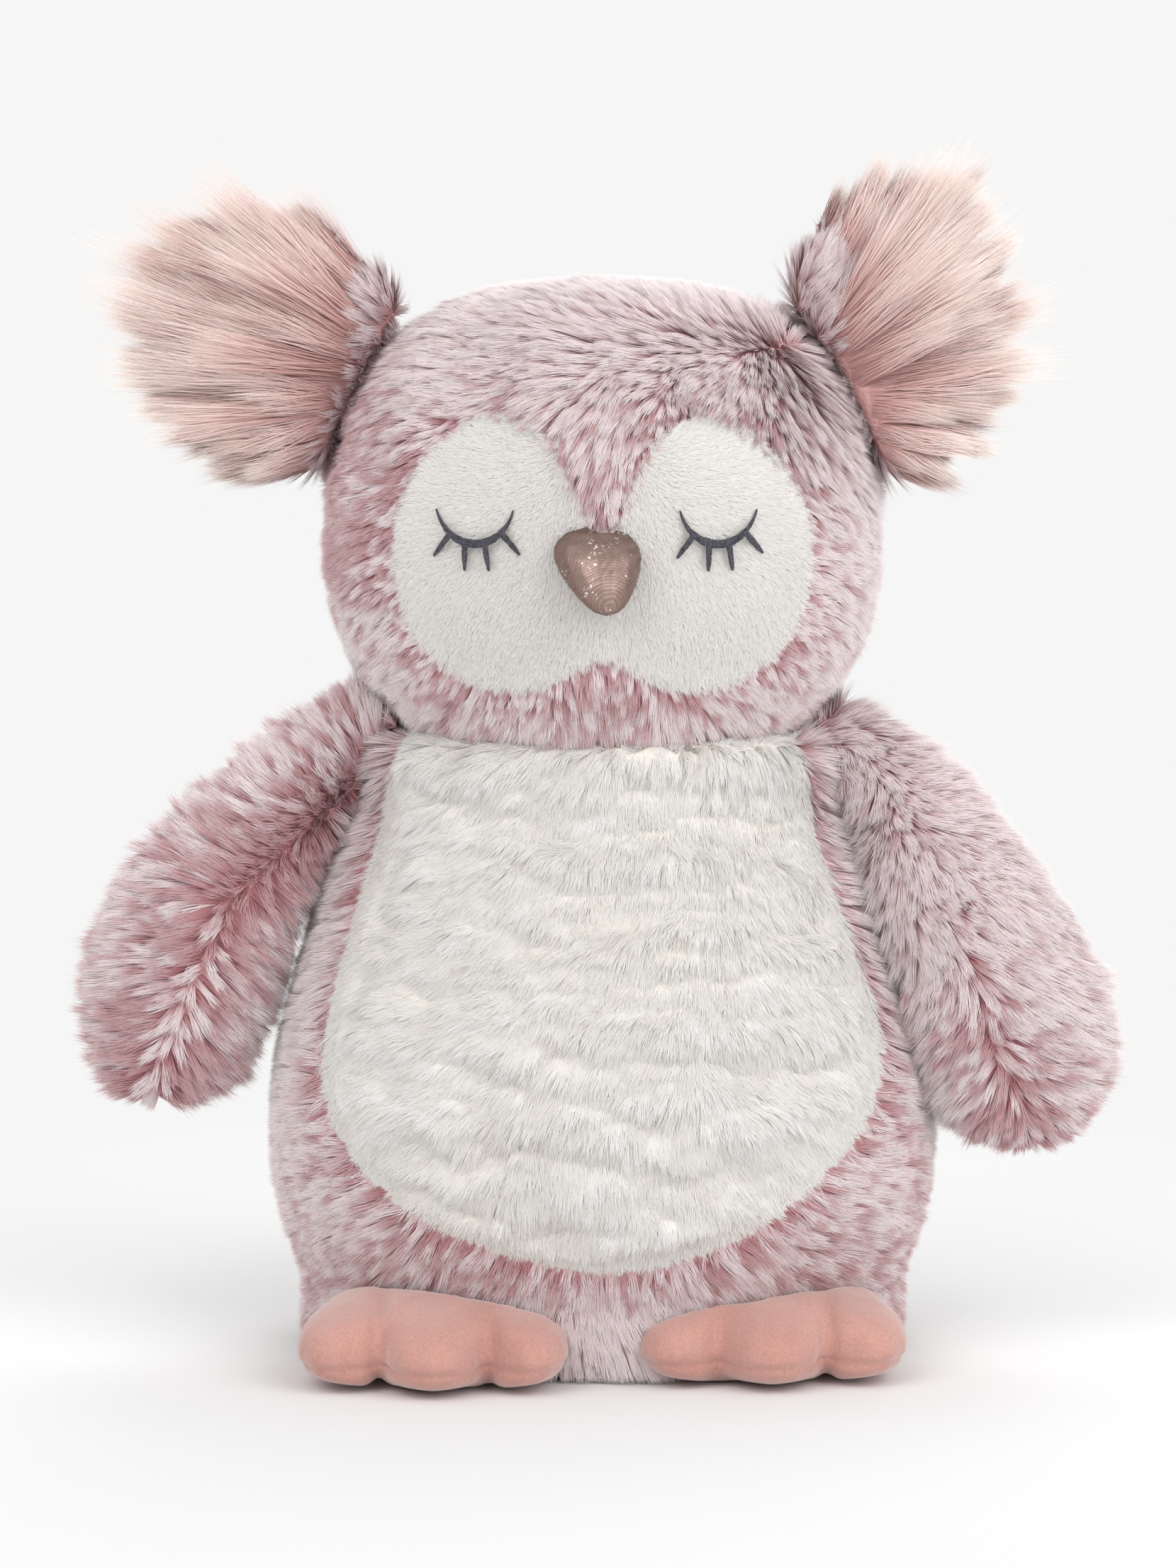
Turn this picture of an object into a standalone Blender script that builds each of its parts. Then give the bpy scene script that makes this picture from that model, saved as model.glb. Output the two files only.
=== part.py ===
"""A standing plush owl, in metres, +Z up, facing -Y, with its origin on the floor under the neck.

Every stuffed part is a cloth skin over its own filling. A skin's outer face is the tips of its pile.
"""

import math

import bmesh
import bpy
import numpy
from mathutils import Matrix, Vector

mm = 0.001

# Cloth and seams
seam_gap = 0.3 * mm
plush_wall = 6 * mm
velour_wall = 1.6 * mm
foil_wall = 0.9 * mm
cutter_overrun = 20 * mm

# Torso: a pear that stands on a flat base
torso_height = 143 * mm
torso_width = 158 * mm
torso_depth = 120 * mm
torso_lean_forward = 4 * mm
base_thickness = 3 * mm
torso_sides = 12
torso_lining_sides = 8
# (height share, width share, depth share, share of the lean)
torso_ring_shares = (
    (-0.05, 0.00, 0.00, 0.0),
    (0.00, 0.79, 0.80, 0.0),
    (0.08, 0.875, 0.89, 0.2),
    (0.20, 0.97, 0.97, 0.7),
    (0.36, 1.00, 1.00, 1.0),
    (0.54, 0.96, 0.95, 0.8),
    (0.72, 0.85, 0.85, 0.4),
    (0.90, 0.70, 0.70, 0.0),
    (1.04, 0.56, 0.58, 0.0),
    (1.09, 0.00, 0.00, 0.0),
)

# Pale belly panel, let into the front of the torso
belly_width = 126 * mm
belly_height = 111 * mm
belly_base_height = 27 * mm
# (across, up), as shares of the panel's width and height
belly_outline_shares = (
    (0.02, 0.00),
    (0.20, 0.05),
    (0.37, 0.16),
    (0.48, 0.30),
    (0.50, 0.42),
    (0.44, 0.65),
    (0.38, 0.85),
    (0.33, 1.08),
    (0.00, 1.10),
    (-0.33, 1.08),
    (-0.40, 0.85),
    (-0.45, 0.65),
    (-0.50, 0.42),
    (-0.48, 0.27),
    (-0.37, 0.13),
    (-0.18, 0.04),
)

# Soft folds across the belly panel, whose crests stand out from the torso's form
belly_fold_depth = 2.8 * mm
belly_fold_wander = 3 * mm
belly_fold_run = 88 * mm
# (height share of the torso, share of the fold's depth)
belly_fold_shares = (
    (0.20, 0.0),
    (0.275, 0.8),
    (0.35, 0.0),
    (0.42, 1.0),
    (0.49, 0.0),
    (0.56, 0.9),
    (0.63, 0.0),
    (0.70, 1.0),
    (0.77, 0.0),
    (0.835, 0.7),
    (0.90, 0.0),
)

# Bag of pellets that weights the base
pellet_bag_width = 92 * mm
pellet_bag_depth = 66 * mm
pellet_bag_height = 30 * mm
pellet_bag_sides = 16
pellet_bag_rings = 8

# Head: a broad ball that overhangs the shoulders
head_height = 106 * mm
head_width = 132 * mm
head_depth = 110 * mm
head_sides = 12
head_lining_sides = 8
neck_clearance = 0.4 * mm
head_ring_shares = (
    (-0.10, 0.00, 0.00, 0.0),
    (-0.03, 0.50, 0.52, 0.0),
    (0.07, 0.80, 0.79, 0.0),
    (0.20, 0.94, 0.93, 0.0),
    (0.38, 1.00, 1.00, 0.0),
    (0.56, 0.97, 1.00, 0.0),
    (0.72, 0.885, 0.93, 0.0),
    (0.86, 0.74, 0.77, 0.0),
    (0.955, 0.48, 0.50, 0.0),
    (1.00, 0.00, 0.00, 0.0),
)

# White face panel, two joined lobes. Its features' heights are above the neck
face_width = 94 * mm
face_height = 62 * mm
face_base_height = 13 * mm
face_sink = 1.5 * mm
# The half at +X, from the lower notch round to the upper one
face_outline_shares = (
    (0.00, 0.14),
    (0.09, 0.06),
    (0.24, 0.00),
    (0.39, 0.09),
    (0.48, 0.28),
    (0.50, 0.54),
    (0.44, 0.80),
    (0.33, 0.96),
    (0.23, 1.00),
    (0.13, 0.92),
    (0.075, 0.76),
    (0.035, 0.60),
)
upper_notch_share = 0.56

# Beak: a small stuffed cone that droops over the face
beak_width = 20.5 * mm
beak_height = 20 * mm
beak_depth = 17 * mm
beak_droop = 4.5 * mm
beak_middle_height = 42 * mm
beak_sides = 8
# (height share, width share, depth share, share of the droop)
beak_ring_shares = (
    (0.50, 0.00, 0.00, -1.2),
    (0.36, 0.72, 0.62, -0.7),
    (0.08, 1.02, 0.95, 0.0),
    (-0.20, 0.84, 0.86, 0.7),
    (-0.40, 0.48, 0.50, 1.2),
    (-0.50, 0.00, 0.00, 1.5),
)
# The beak and both eyes sit a little to the toy's right
features_shift = -1.5 * mm

# Closed eyes in satin stitch: a crescent with four lashes
eye_spacing = 54.6 * mm
eye_width = 17.3 * mm
eye_drop = 10.3 * mm
eye_line = 1.7 * mm
eye_line_end = 0.7 * mm
eye_height = 57 * mm
eye_bend_share = 0.92
stitch_height = 0.7 * mm
eye_arc_points = 9
lash_root_width = 1.4 * mm
lash_tip_width = 0.8 * mm
lash_length = 5.4 * mm
# (place along the crescent, slant), as shares of half the eye's width and of the lash's length
lash_shares = ((-0.64, -0.63), (-0.25, -0.02), (0.26, 0.14), (0.69, 0.70))

# Wings: stuffed flippers, sewn on at shoulders a little below the neck
wing_thickness = 32 * mm
wing_sides = 7
shoulder_spread = 56 * mm
wing_pivot_spread = 57.5 * mm
wing_lift = 60
# Places of the lift where the root passes nearest to the torso
wing_clearing_shares = (0.1, 0.2, 0.3, 0.42)
right_wing_width = 48 * mm
right_wing_reach = 45 * mm
right_wing_drop = 87 * mm
right_wing_forward = 7 * mm
right_shoulder_drop = 2 * mm
left_wing_width = 51 * mm
left_wing_reach = 41 * mm
left_wing_drop = 93 * mm
left_wing_forward = 17 * mm
left_shoulder_drop = 5 * mm
# (reach share, drop share) of each ring's middle, from the root to the tip
right_wing_line_shares = (
    (-0.22, -0.03),
    (0.00, 0.00),
    (0.36, 0.15),
    (0.72, 0.38),
    (0.94, 0.62),
    (1.00, 0.83),
    (1.00, 0.95),
    (1.00, 1.00),
)
left_wing_line_shares = (
    (-0.24, -0.02),
    (0.00, 0.00),
    (0.29, 0.12),
    (0.57, 0.33),
    (0.91, 0.62),
    (1.00, 0.84),
    (1.00, 0.95),
    (1.00, 1.00),
)
# (width share, thickness share, share of the forward set) of the same rings
wing_root_share = 0.55
wing_girth_shares = (
    (0.00, 0.00, 0.0),
    (wing_root_share, 0.74, 0.1),
    (0.68, 0.90, 0.5),
    (0.86, 1.00, 0.9),
    (1.00, 1.00, 1.0),
    (0.84, 0.84, 1.0),
    (0.50, 0.56, 1.0),
    (0.00, 0.00, 1.0),
)

# Ears: a short plush leaf behind a fan of long-pile locks
ear_seam_length = 38 * mm
ear_root_sink = 3 * mm
ear_lock_width = 24 * mm
ear_lock_thickness = 24 * mm
ear_lock_sides = 5
ear_backing_length = 30 * mm
ear_backing_width = 40 * mm
ear_backing_thickness = 16 * mm
ear_backing_sides = 8
ear_split = 3.5 * mm
ear_flop = 20
right_ear_length = 61 * mm
# (outward, up) as shares of half the head's width and of its height
right_ear_seat_shares = (0.8485, 0.783)
right_ear_seam_lean = 24
right_ear_turn = -11
right_ear_half_fan = 24
left_ear_length = 55 * mm
left_ear_seat_shares = (0.8182, 0.7925)
left_ear_seam_lean = 26
left_ear_turn = 0
left_ear_half_fan = 40
# (place on the seam, swing, reach) of each lock, from the highest to the lowest
right_ear_lock_shares = (
    (0.80, 0.98, 0.88),
    (0.42, 0.62, 1.00),
    (0.00, 0.15, 0.97),
    (-0.42, -0.44, 0.84),
    (-0.80, -1.00, 0.64),
)
left_ear_lock_shares = (
    (0.78, 0.92, 0.74),
    (0.40, 0.55, 1.00),
    (0.00, 0.12, 0.94),
    (-0.42, -0.42, 0.72),
    (-0.80, -0.96, 0.50),
)
# (length share, girth share) along one lock, from root to tip
ear_lock_ring_shares = ((0.0, 0.0), (0.10, 0.50), (0.66, 1.00), (1.0, 0.0))
# The same along the leaf
ear_leaf_ring_shares = ((0.0, 0.0), (0.10, 0.70), (0.45, 1.0), (0.82, 0.66), (1.0, 0.0))

# Feet: three velour toes each, sewn upper to sole
foot_spread = 38 * mm
foot_width = 58 * mm
foot_length = 50 * mm
foot_height = 22 * mm
foot_rise = 7 * mm
foot_seam_height = 6 * mm
foot_front = 72 * mm
left_foot_setback = 7 * mm
# (outward share, backward share) round the left foot as seen from above; the toes are the last eight
foot_outline_shares = (
    (1.02, 0.02),
    (0.82, 0.74),
    (0.00, 1.04),
    (-0.82, 0.74),
    (-1.00, 0.02),
    (-1.06, -0.68),
    (-0.72, -1.10),
    (-0.38, -0.60),
    (-0.24, -1.14),
    (0.24, -1.14),
    (0.40, -0.56),
    (0.76, -1.00),
    (1.08, -0.54),
)
# (height share, size share, share of the rise)
foot_ring_shares = (
    (-0.06, 0.00, 0.0),
    (0.12, 0.88, 0.0),
    (0.46, 1.00, 0.2),
    (0.80, 0.80, 0.7),
    (0.98, 0.00, 1.0),
)

rose_colour = (0.56, 0.40, 0.41, 1.0)
ivory_colour = (0.78, 0.75, 0.71, 1.0)
long_rose_colour = (0.58, 0.36, 0.34, 1.0)
velour_colour = (0.60, 0.33, 0.27, 1.0)
foil_colour = (0.42, 0.29, 0.25, 1.0)
thread_colour = (0.05, 0.045, 0.055, 1.0)
fibre_colour = (0.85, 0.85, 0.83, 1.0)
cotton_colour = (0.70, 0.66, 0.58, 1.0)


def clear_scene():
    for item in list(bpy.data.objects):
        bpy.data.objects.remove(item)


def collection(name, helper=False):
    made = bpy.data.collections.new(name)
    bpy.context.scene.collection.children.link(made)
    made.hide_render = helper
    return made


def finish(name, colour, roughness, metallic=0.0):
    made = bpy.data.materials.new(name)
    made.use_nodes = True
    shader = made.node_tree.nodes["Principled BSDF"]
    shader.inputs["Base Color"].default_value = colour
    shader.inputs["Roughness"].default_value = roughness
    shader.inputs["Metallic"].default_value = metallic
    made.diffuse_color = colour
    return made


clear_scene()
parts = collection("plush_owl")
cutters = collection("cutters", helper=True)
tipped_plush = finish("tipped_plush", rose_colour, 0.95)
ivory_plush = finish("ivory_plush", ivory_colour, 0.95)
long_pile = finish("long_pile", long_rose_colour, 0.85)
velour = finish("velour", velour_colour, 0.9)
foil_knit = finish("foil_knit", foil_colour, 0.4, metallic=0.5)
dark_thread = finish("dark_thread", thread_colour, 0.6)
fibre = finish("fibre_filling", fibre_colour, 1.0)
bag_cotton = finish("bag_cotton", cotton_colour, 0.9)


# Building blocks


def new_object(name, mesh, material=None):
    """A visible part where it has a material, and otherwise a cutter."""
    made = bpy.data.objects.new(name, mesh)
    if material:
        mesh.materials.clear()
        mesh.materials.append(material)
        parts.objects.link(made)
        return made
    made.hide_render = True
    made.display_type = "WIRE"
    cutters.objects.link(made)
    return made


def round_outline(sides):
    return [(math.cos(math.tau * side / sides), math.sin(math.tau * side / sides)) for side in range(sides)]


def ring_cage(name, stations, outline):
    """A coarse closed cage round a line of stations, each (centre, across, through) with its half-axes as
    vectors. Subdivided once, a cage with a round outline passes through them. The first and last stations
    are the two end points."""
    sides = len(outline)
    count = len(stations)
    wanted = numpy.array([[*centre, *across, *through] for centre, across, through in stations])
    smoothing = numpy.zeros((count, count))
    neighbour_share, end_share = 1 / 8, 5 / (3 * sides)
    for row in range(1, count - 1):
        smoothing[row, row - 1] = smoothing[row, row + 1] = neighbour_share
        smoothing[row, row] = 1 - 2 * neighbour_share
    for row, inner in ((0, 1), (count - 1, count - 2)):
        smoothing[row, row] = 1 - end_share
        smoothing[row, inner] = end_share
    cage = numpy.linalg.solve(smoothing, wanted)
    cage[:, 3:] /= 1 - 2 * neighbour_share + 2 * neighbour_share * math.cos(2 * math.pi / sides)

    shape = bmesh.new()
    bmesh.ops.create_uvsphere(shape, u_segments=sides, v_segments=count - 1, radius=1)
    for vertex in shape.verts:
        ring = round(math.acos(max(-1, min(1, vertex.co.z))) * (count - 1) / math.pi)
        centre, across, through = cage[ring, 0:3], cage[ring, 3:6], cage[ring, 6:9]
        side = round(math.atan2(vertex.co.y, vertex.co.x) * sides / math.tau) % sides
        out_share, back_share = (0, 0) if ring in (0, count - 1) else outline[side]
        vertex.co = Vector(centre + across * out_share + through * back_share)
    if shape.calc_volume(signed=True) < 0:
        bmesh.ops.reverse_faces(shape, faces=shape.faces)
    mesh = bpy.data.meshes.new(name)
    shape.to_mesh(mesh)
    shape.free()
    mesh.shade_smooth()
    return mesh


def soft_form(name, cage, growth=0.0, material=None):
    """The cage's rounded form, moved out along its normals by growth."""
    made = new_object(name, cage.copy(), material)
    rounding = made.modifiers.new("rounding", "SUBSURF")
    rounding.levels = rounding.render_levels = 1
    if growth:
        offset = made.modifiers.new("offset", "DISPLACE")
        offset.mid_level = 0
        offset.strength = growth
    return made


def block(name, low, high):
    shape = bmesh.new()
    bmesh.ops.create_cube(shape, size=1)
    size, middle = high - low, (high + low) / 2
    shape.transform(Matrix.Translation(middle) @ Matrix.Diagonal(size).to_4x4())
    mesh = bpy.data.meshes.new(name)
    shape.to_mesh(mesh)
    shape.free()
    return new_object(name, mesh)


def ellipsoid(name, centre, size, sides, rings, growth=0.0, material=None):
    shape = bmesh.new()
    bmesh.ops.create_uvsphere(shape, u_segments=sides, v_segments=rings, radius=1)
    half = size / 2 + Vector((growth, growth, growth))
    shape.transform(Matrix.Translation(centre) @ Matrix.Diagonal(half).to_4x4())
    mesh = bpy.data.meshes.new(name)
    shape.to_mesh(mesh)
    shape.free()
    mesh.shade_smooth()
    return new_object(name, mesh, material)


def prism(name, points, front, back, growth=0.0, curve_steps=2):
    """A flat outline of (x, z) points, grown sideways by growth, that reaches from y = front to y = back.
    Its edges curve through the points in curve_steps steps, and one step leaves them straight."""
    outline = bpy.data.curves.new(name, "CURVE")
    outline.dimensions = "2D"
    outline.fill_mode = "BOTH"
    outline.extrude = (back - front) / 2
    outline.resolution_u = curve_steps
    spline = outline.splines.new("BEZIER")
    spline.bezier_points.add(len(points[1:]))
    spline.use_cyclic_u = True
    for point, (x, z) in zip(spline.bezier_points, points):
        point.co = (x, z, 0)
        point.handle_left_type = point.handle_right_type = "AUTO"
    outline.offset = growth
    guide = bpy.data.objects.new(name, outline)
    cutters.objects.link(guide)
    guide.matrix_world = Matrix.Translation((0, (front + back) / 2, 0)) @ Matrix.Rotation(math.pi / 2, 4, "X")
    bpy.context.view_layer.update()
    mesh = bpy.data.meshes.new_from_object(guide.evaluated_get(bpy.context.evaluated_depsgraph_get()))
    mesh.transform(guide.matrix_world)
    bpy.data.objects.remove(guide)
    shape = bmesh.new()
    shape.from_mesh(mesh)
    bmesh.ops.remove_doubles(shape, verts=shape.verts, dist=seam_gap / 10)
    bmesh.ops.recalc_face_normals(shape, faces=shape.faces)
    shape.to_mesh(mesh)
    shape.free()
    return new_object(name, mesh)


def boolean(target, cutter, operation="DIFFERENCE", solver="EXACT"):
    made = target.modifiers.new(cutter.name, "BOOLEAN")
    made.operation = operation
    made.solver = solver
    made.object = cutter
    return target


def keep(target, cutter):
    return boolean(target, cutter, "INTERSECT")


def solid_copy(name, source, material=None):
    """A plain mesh of an object as its modifiers leave it."""
    bpy.context.view_layer.update()
    graph = bpy.context.evaluated_depsgraph_get()
    mesh = bpy.data.meshes.new_from_object(source.evaluated_get(graph))
    mesh.transform(source.matrix_world)
    return new_object(name, mesh, material)


def hang_on(pivot, *pieces):
    """The pieces turn with the empty at their joint and stay where they are."""
    bpy.context.view_layer.update()
    for piece in pieces:
        piece.parent = pivot
        piece.matrix_parent_inverse = pivot.matrix_world.inverted()


def joint_empty(name, place):
    made = bpy.data.objects.new(name, None)
    made.location = place
    parts.objects.link(made)
    return made


# Forms that several pieces share


def upright_stations(rings, height, width, depth, base, lean):
    stations = []
    for up_share, width_share, depth_share, lean_share in rings:
        centre = Vector((0, -lean * lean_share, base + height * up_share))
        across = Vector((width / 2 * width_share, 0, 0))
        through = Vector((0, depth / 2 * depth_share, 0))
        stations.append((centre, across, through))
    return stations


torso_stations = upright_stations(
    torso_ring_shares, torso_height, torso_width, torso_depth, 0, torso_lean_forward
)
torso_cage = ring_cage("torso_cage", torso_stations, round_outline(torso_sides))
torso_lining = ring_cage("torso_lining", torso_stations, round_outline(torso_lining_sides))
head_stations = upright_stations(head_ring_shares, head_height, head_width, head_depth, torso_height, 0)
head_cage = ring_cage("head_cage", head_stations, round_outline(head_sides))
head_lining = ring_cage("head_lining", head_stations, round_outline(head_lining_sides))

widest = max(torso_width, head_width)
deepest = max(torso_depth, head_depth)
far_side = Vector((widest / 2 + cutter_overrun, deepest / 2 + cutter_overrun, 0))
top_reach = torso_height + head_height + cutter_overrun


def level_block(name, bottom, top):
    """All that lies between two heights, across the whole toy."""
    return block(name, Vector((-far_side.x, -far_side.y, bottom)), Vector((far_side.x, far_side.y, top)))


def hollow(skin, cage, wall, solver="EXACT"):
    return boolean(skin, soft_form(skin.name + "_hollow", cage, -wall), solver=solver)


# Torso


def torso_room():
    """The room that the torso and its seam gap take from what is sewn to it."""
    form = soft_form("torso_room_form", torso_cage, seam_gap)
    keep(form, level_block("torso_room_levels", -cutter_overrun, torso_height))
    return solid_copy("torso_room", form)


def belly_rings():
    """The torso's rings, with a ring for each crest and crease of the belly's folds between them."""
    heights, *columns = zip(*torso_ring_shares)
    first, last = belly_fold_shares[0][0], belly_fold_shares[-1][0]
    rings = [ring for ring in torso_ring_shares if ring[0] < first]
    for height_share, fold_share in belly_fold_shares:
        width_share, depth_share, lean_share = (numpy.interp(height_share, heights, column) for column in columns)
        depth_share += fold_share * belly_fold_depth / (torso_depth / 2)
        rings.append((height_share, width_share, depth_share, lean_share))
    return rings + [ring for ring in torso_ring_shares if ring[0] > last]


def belly_cage():
    stations = upright_stations(
        belly_rings(), torso_height, torso_width, torso_depth, 0, torso_lean_forward
    )
    cage = ring_cage("belly_cage", stations, round_outline(torso_sides))
    for vertex in cage.vertices:
        vertex.co.z += belly_fold_wander * math.sin(vertex.co.x / belly_fold_run * math.tau)
    return cage


def belly_points():
    return [(x * belly_width, belly_base_height + z * belly_height) for x, z in belly_outline_shares]


def torso():
    front = -far_side.y
    neck_level = level_block("torso_levels", base_thickness + seam_gap, torso_height)
    skin = soft_form("torso_skin", torso_cage, 0, tipped_plush)
    keep(skin, neck_level)
    hollow(skin, torso_lining, plush_wall)
    boolean(skin, prism("belly_window", belly_points(), front, 0, seam_gap))

    panel = soft_form("belly_panel", belly_cage(), 0, ivory_plush)
    keep(panel, neck_level)
    keep(panel, prism("belly_cut", belly_points(), front, 0))
    hollow(panel, torso_lining, plush_wall)

    base = soft_form("base_panel", torso_cage, 0, tipped_plush)
    keep(base, level_block("base_levels", 0, base_thickness))

    bag_size = Vector((pellet_bag_width, pellet_bag_depth, pellet_bag_height))
    bag_place = Vector((0, 0, base_thickness + pellet_bag_height / 3))
    bag = ellipsoid("pellet_bag", bag_place, bag_size, pellet_bag_sides, pellet_bag_rings, 0, bag_cotton)
    above_base = level_block("bag_levels", base_thickness + seam_gap, top_reach)
    keep(bag, above_base)

    filling = soft_form("torso_filling", torso_lining, -plush_wall - seam_gap, fibre)
    keep(filling, neck_level)
    pocket = ellipsoid("bag_pocket", bag_place, bag_size, pellet_bag_sides, pellet_bag_rings, seam_gap)
    boolean(filling, pocket)
    return [skin, panel, base, bag, filling]


# Head


def face_points():
    base = torso_height + face_base_height
    lobe = [(x * face_width, base + z * face_height) for x, z in face_outline_shares]
    upper_notch = (0, base + upper_notch_share * face_height)
    other_lobe = [(-x, z) for x, z in reversed(lobe[1:])]
    return lobe + [upper_notch] + other_lobe


def eye_crescent():
    """The closed lid: two arcs that part in the middle and nearly meet at the corners."""
    lower, upper = [], []
    for step in range(eye_arc_points):
        across = 2 * step / (eye_arc_points - 1) - 1
        middle = -math.sqrt(1 - eye_bend_share * across * across) * eye_drop
        line = eye_line_end + (eye_line - eye_line_end) * (1 - across * across)
        x = across * eye_width / 2
        lower.append((x, middle - line / 2))
        upper.append((x, middle + line / 2))
    return lower + upper[::-1]


def lash_outline(along_share, slant_share):
    root_x = along_share * eye_width / 2
    root_z = -math.sqrt(1 - eye_bend_share * along_share * along_share) * eye_drop
    lean = Vector((slant_share, 0, -math.sqrt(1 - slant_share * slant_share)))
    side = Vector((-lean.z, 0, lean.x))
    root, tip = Vector((root_x, 0, root_z)), Vector((root_x, 0, root_z)) + lean * lash_length
    corners = (
        root + side * lash_root_width / 2,
        root - side * lash_root_width / 2,
        tip - side * lash_tip_width / 2,
        tip + side * lash_tip_width / 2,
    )
    return [(corner.x, corner.z) for corner in corners]


def eye(side_name, sign):
    """The stitches lie on the face panel as one thin raised layer."""
    front = -far_side.y
    place = Vector((features_shift + sign * eye_spacing / 2, 0, torso_height + eye_height))
    shape = prism(side_name + "_eye_lid", eye_crescent(), front, 0, curve_steps=1)
    shape.location = place
    for number, (along_share, slant_share) in enumerate(lash_shares):
        lash = prism(f"{side_name}_lash_{number}", lash_outline(along_share, slant_share), front, 0, curve_steps=1)
        lash.location = place
        boolean(shape, lash, "UNION")
    layer = soft_form(side_name + "_eye_stitches", head_cage, -face_sink + seam_gap + stitch_height, dark_thread)
    keep(layer, shape)
    return boolean(layer, soft_form(side_name + "_eye_seat", head_cage, -face_sink + seam_gap))


def beak():
    front_face = -head_depth / 2 + face_sink
    stations = []
    for up_share, width_share, depth_share, droop_share in beak_ring_shares:
        height = torso_height + beak_middle_height + beak_height * up_share
        centre = Vector((features_shift, front_face - beak_droop * droop_share, height))
        across = Vector((beak_width / 2 * width_share, 0, 0))
        through = Vector((0, beak_depth / 2 * depth_share, 0))
        stations.append((centre, across, through))
    cage = ring_cage("beak_cage", stations, round_outline(beak_sides))
    face_seat = soft_form("beak_face_seat", head_cage, -face_sink + seam_gap)
    forehead_seat = soft_form("beak_forehead_seat", head_cage, seam_gap)
    boolean(forehead_seat, prism("beak_face_cut", face_points(), -far_side.y, 0))
    skin = soft_form("beak_skin", cage, 0, foil_knit)
    filling = soft_form("beak_filling", cage, -foil_wall - seam_gap, fibre)
    for piece in (skin, filling):
        boolean(piece, face_seat)
        boolean(piece, forehead_seat)
    hollow(skin, cage, foil_wall)
    return [skin, filling]


def head():
    front = -far_side.y
    above_neck = level_block("head_levels", torso_height + neck_clearance, top_reach)
    skin = soft_form("head_skin", head_cage, 0, tipped_plush)
    keep(skin, above_neck)
    hollow(skin, head_lining, plush_wall)
    boolean(skin, prism("face_window", face_points(), front, 0, seam_gap))

    panel = soft_form("face_panel", head_cage, -face_sink, ivory_plush)
    keep(panel, prism("face_cut", face_points(), front, 0))
    hollow(panel, head_lining, plush_wall)

    filling = soft_form("head_filling", head_lining, -plush_wall - seam_gap, fibre)
    keep(filling, above_neck)
    return [skin, panel, filling, *beak(), eye("right", -1), eye("left", 1)]


# Wings


def head_sweep():
    """All the room that the head takes as it turns on the neck: its widest outline, spun about Z."""
    rings = upright_stations(head_ring_shares, head_height, head_width, head_width, torso_height, 0)
    cage = ring_cage("head_sweep_cage", rings, round_outline(2 * head_sides))
    return soft_form("head_sweep", cage, seam_gap)


def turned_about(form, place, axis, degrees):
    turn = Matrix.Rotation(math.radians(degrees), 4, axis)
    form.matrix_world = Matrix.Translation(place) @ turn @ Matrix.Translation(-place)
    return form


def wing(side_name, sign, pivot_place, width, reach, drop, forward, shoulder_height, line_shares, rooms):
    """A leaf-shaped sleeve whose line bends from the shoulder down beside the torso."""
    line = []
    for (reach_share, drop_share), (_, _, forward_share) in zip(line_shares, wing_girth_shares):
        x = sign * (shoulder_spread + reach * reach_share)
        line.append(Vector((x, -forward * forward_share, shoulder_height - drop * drop_share)))
    stations = []
    for number, (width_share, thickness_share, _) in enumerate(wing_girth_shares):
        before, after = line[max(number - 1, 0)], line[min(number + 1, len(line) - 1)]
        across = (after - before).cross(Vector((0, 1, 0))).normalized() * width / 2 * width_share
        through = Vector((0, wing_thickness / 2 * thickness_share, 0))
        stations.append((line[number], across, through))
    # The sleeve runs on past the root, into what it is cut by, so that it is open where it is sewn on
    run_on = (line[0] - line[1]).normalized() * cutter_overrun
    (end, end_across, end_through), (root, root_across, root_through) = stations[:2]
    sleeve = [(end + run_on, end_across, end_through), (root + run_on, root_across, root_through)]
    stations = sleeve + stations[1:]
    cage = ring_cage(side_name + "_wing_cage", stations, round_outline(wing_sides))
    skin = soft_form(side_name + "_wing_skin", cage, 0, tipped_plush)
    filling = soft_form(side_name + "_wing_filling", cage, -plush_wall - seam_gap, fibre)
    torso_form, head_form = rooms
    torso_places = [torso_form]
    for share in wing_clearing_shares:
        form = new_object(f"{side_name}_wing_clearing_{share}", torso_form.data.copy())
        torso_places.append(turned_about(form, pivot_place, Vector((0, sign, 0)), wing_lift * share))
    # The torso's places nearly coincide, where the exact solver leaves open edges
    for piece in (skin, filling):
        for form in (head_form, *torso_places):
            boolean(piece, form, solver="MANIFOLD")
    hollow(skin, cage, plush_wall, "MANIFOLD")
    return [skin, filling]


# Ears


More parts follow.
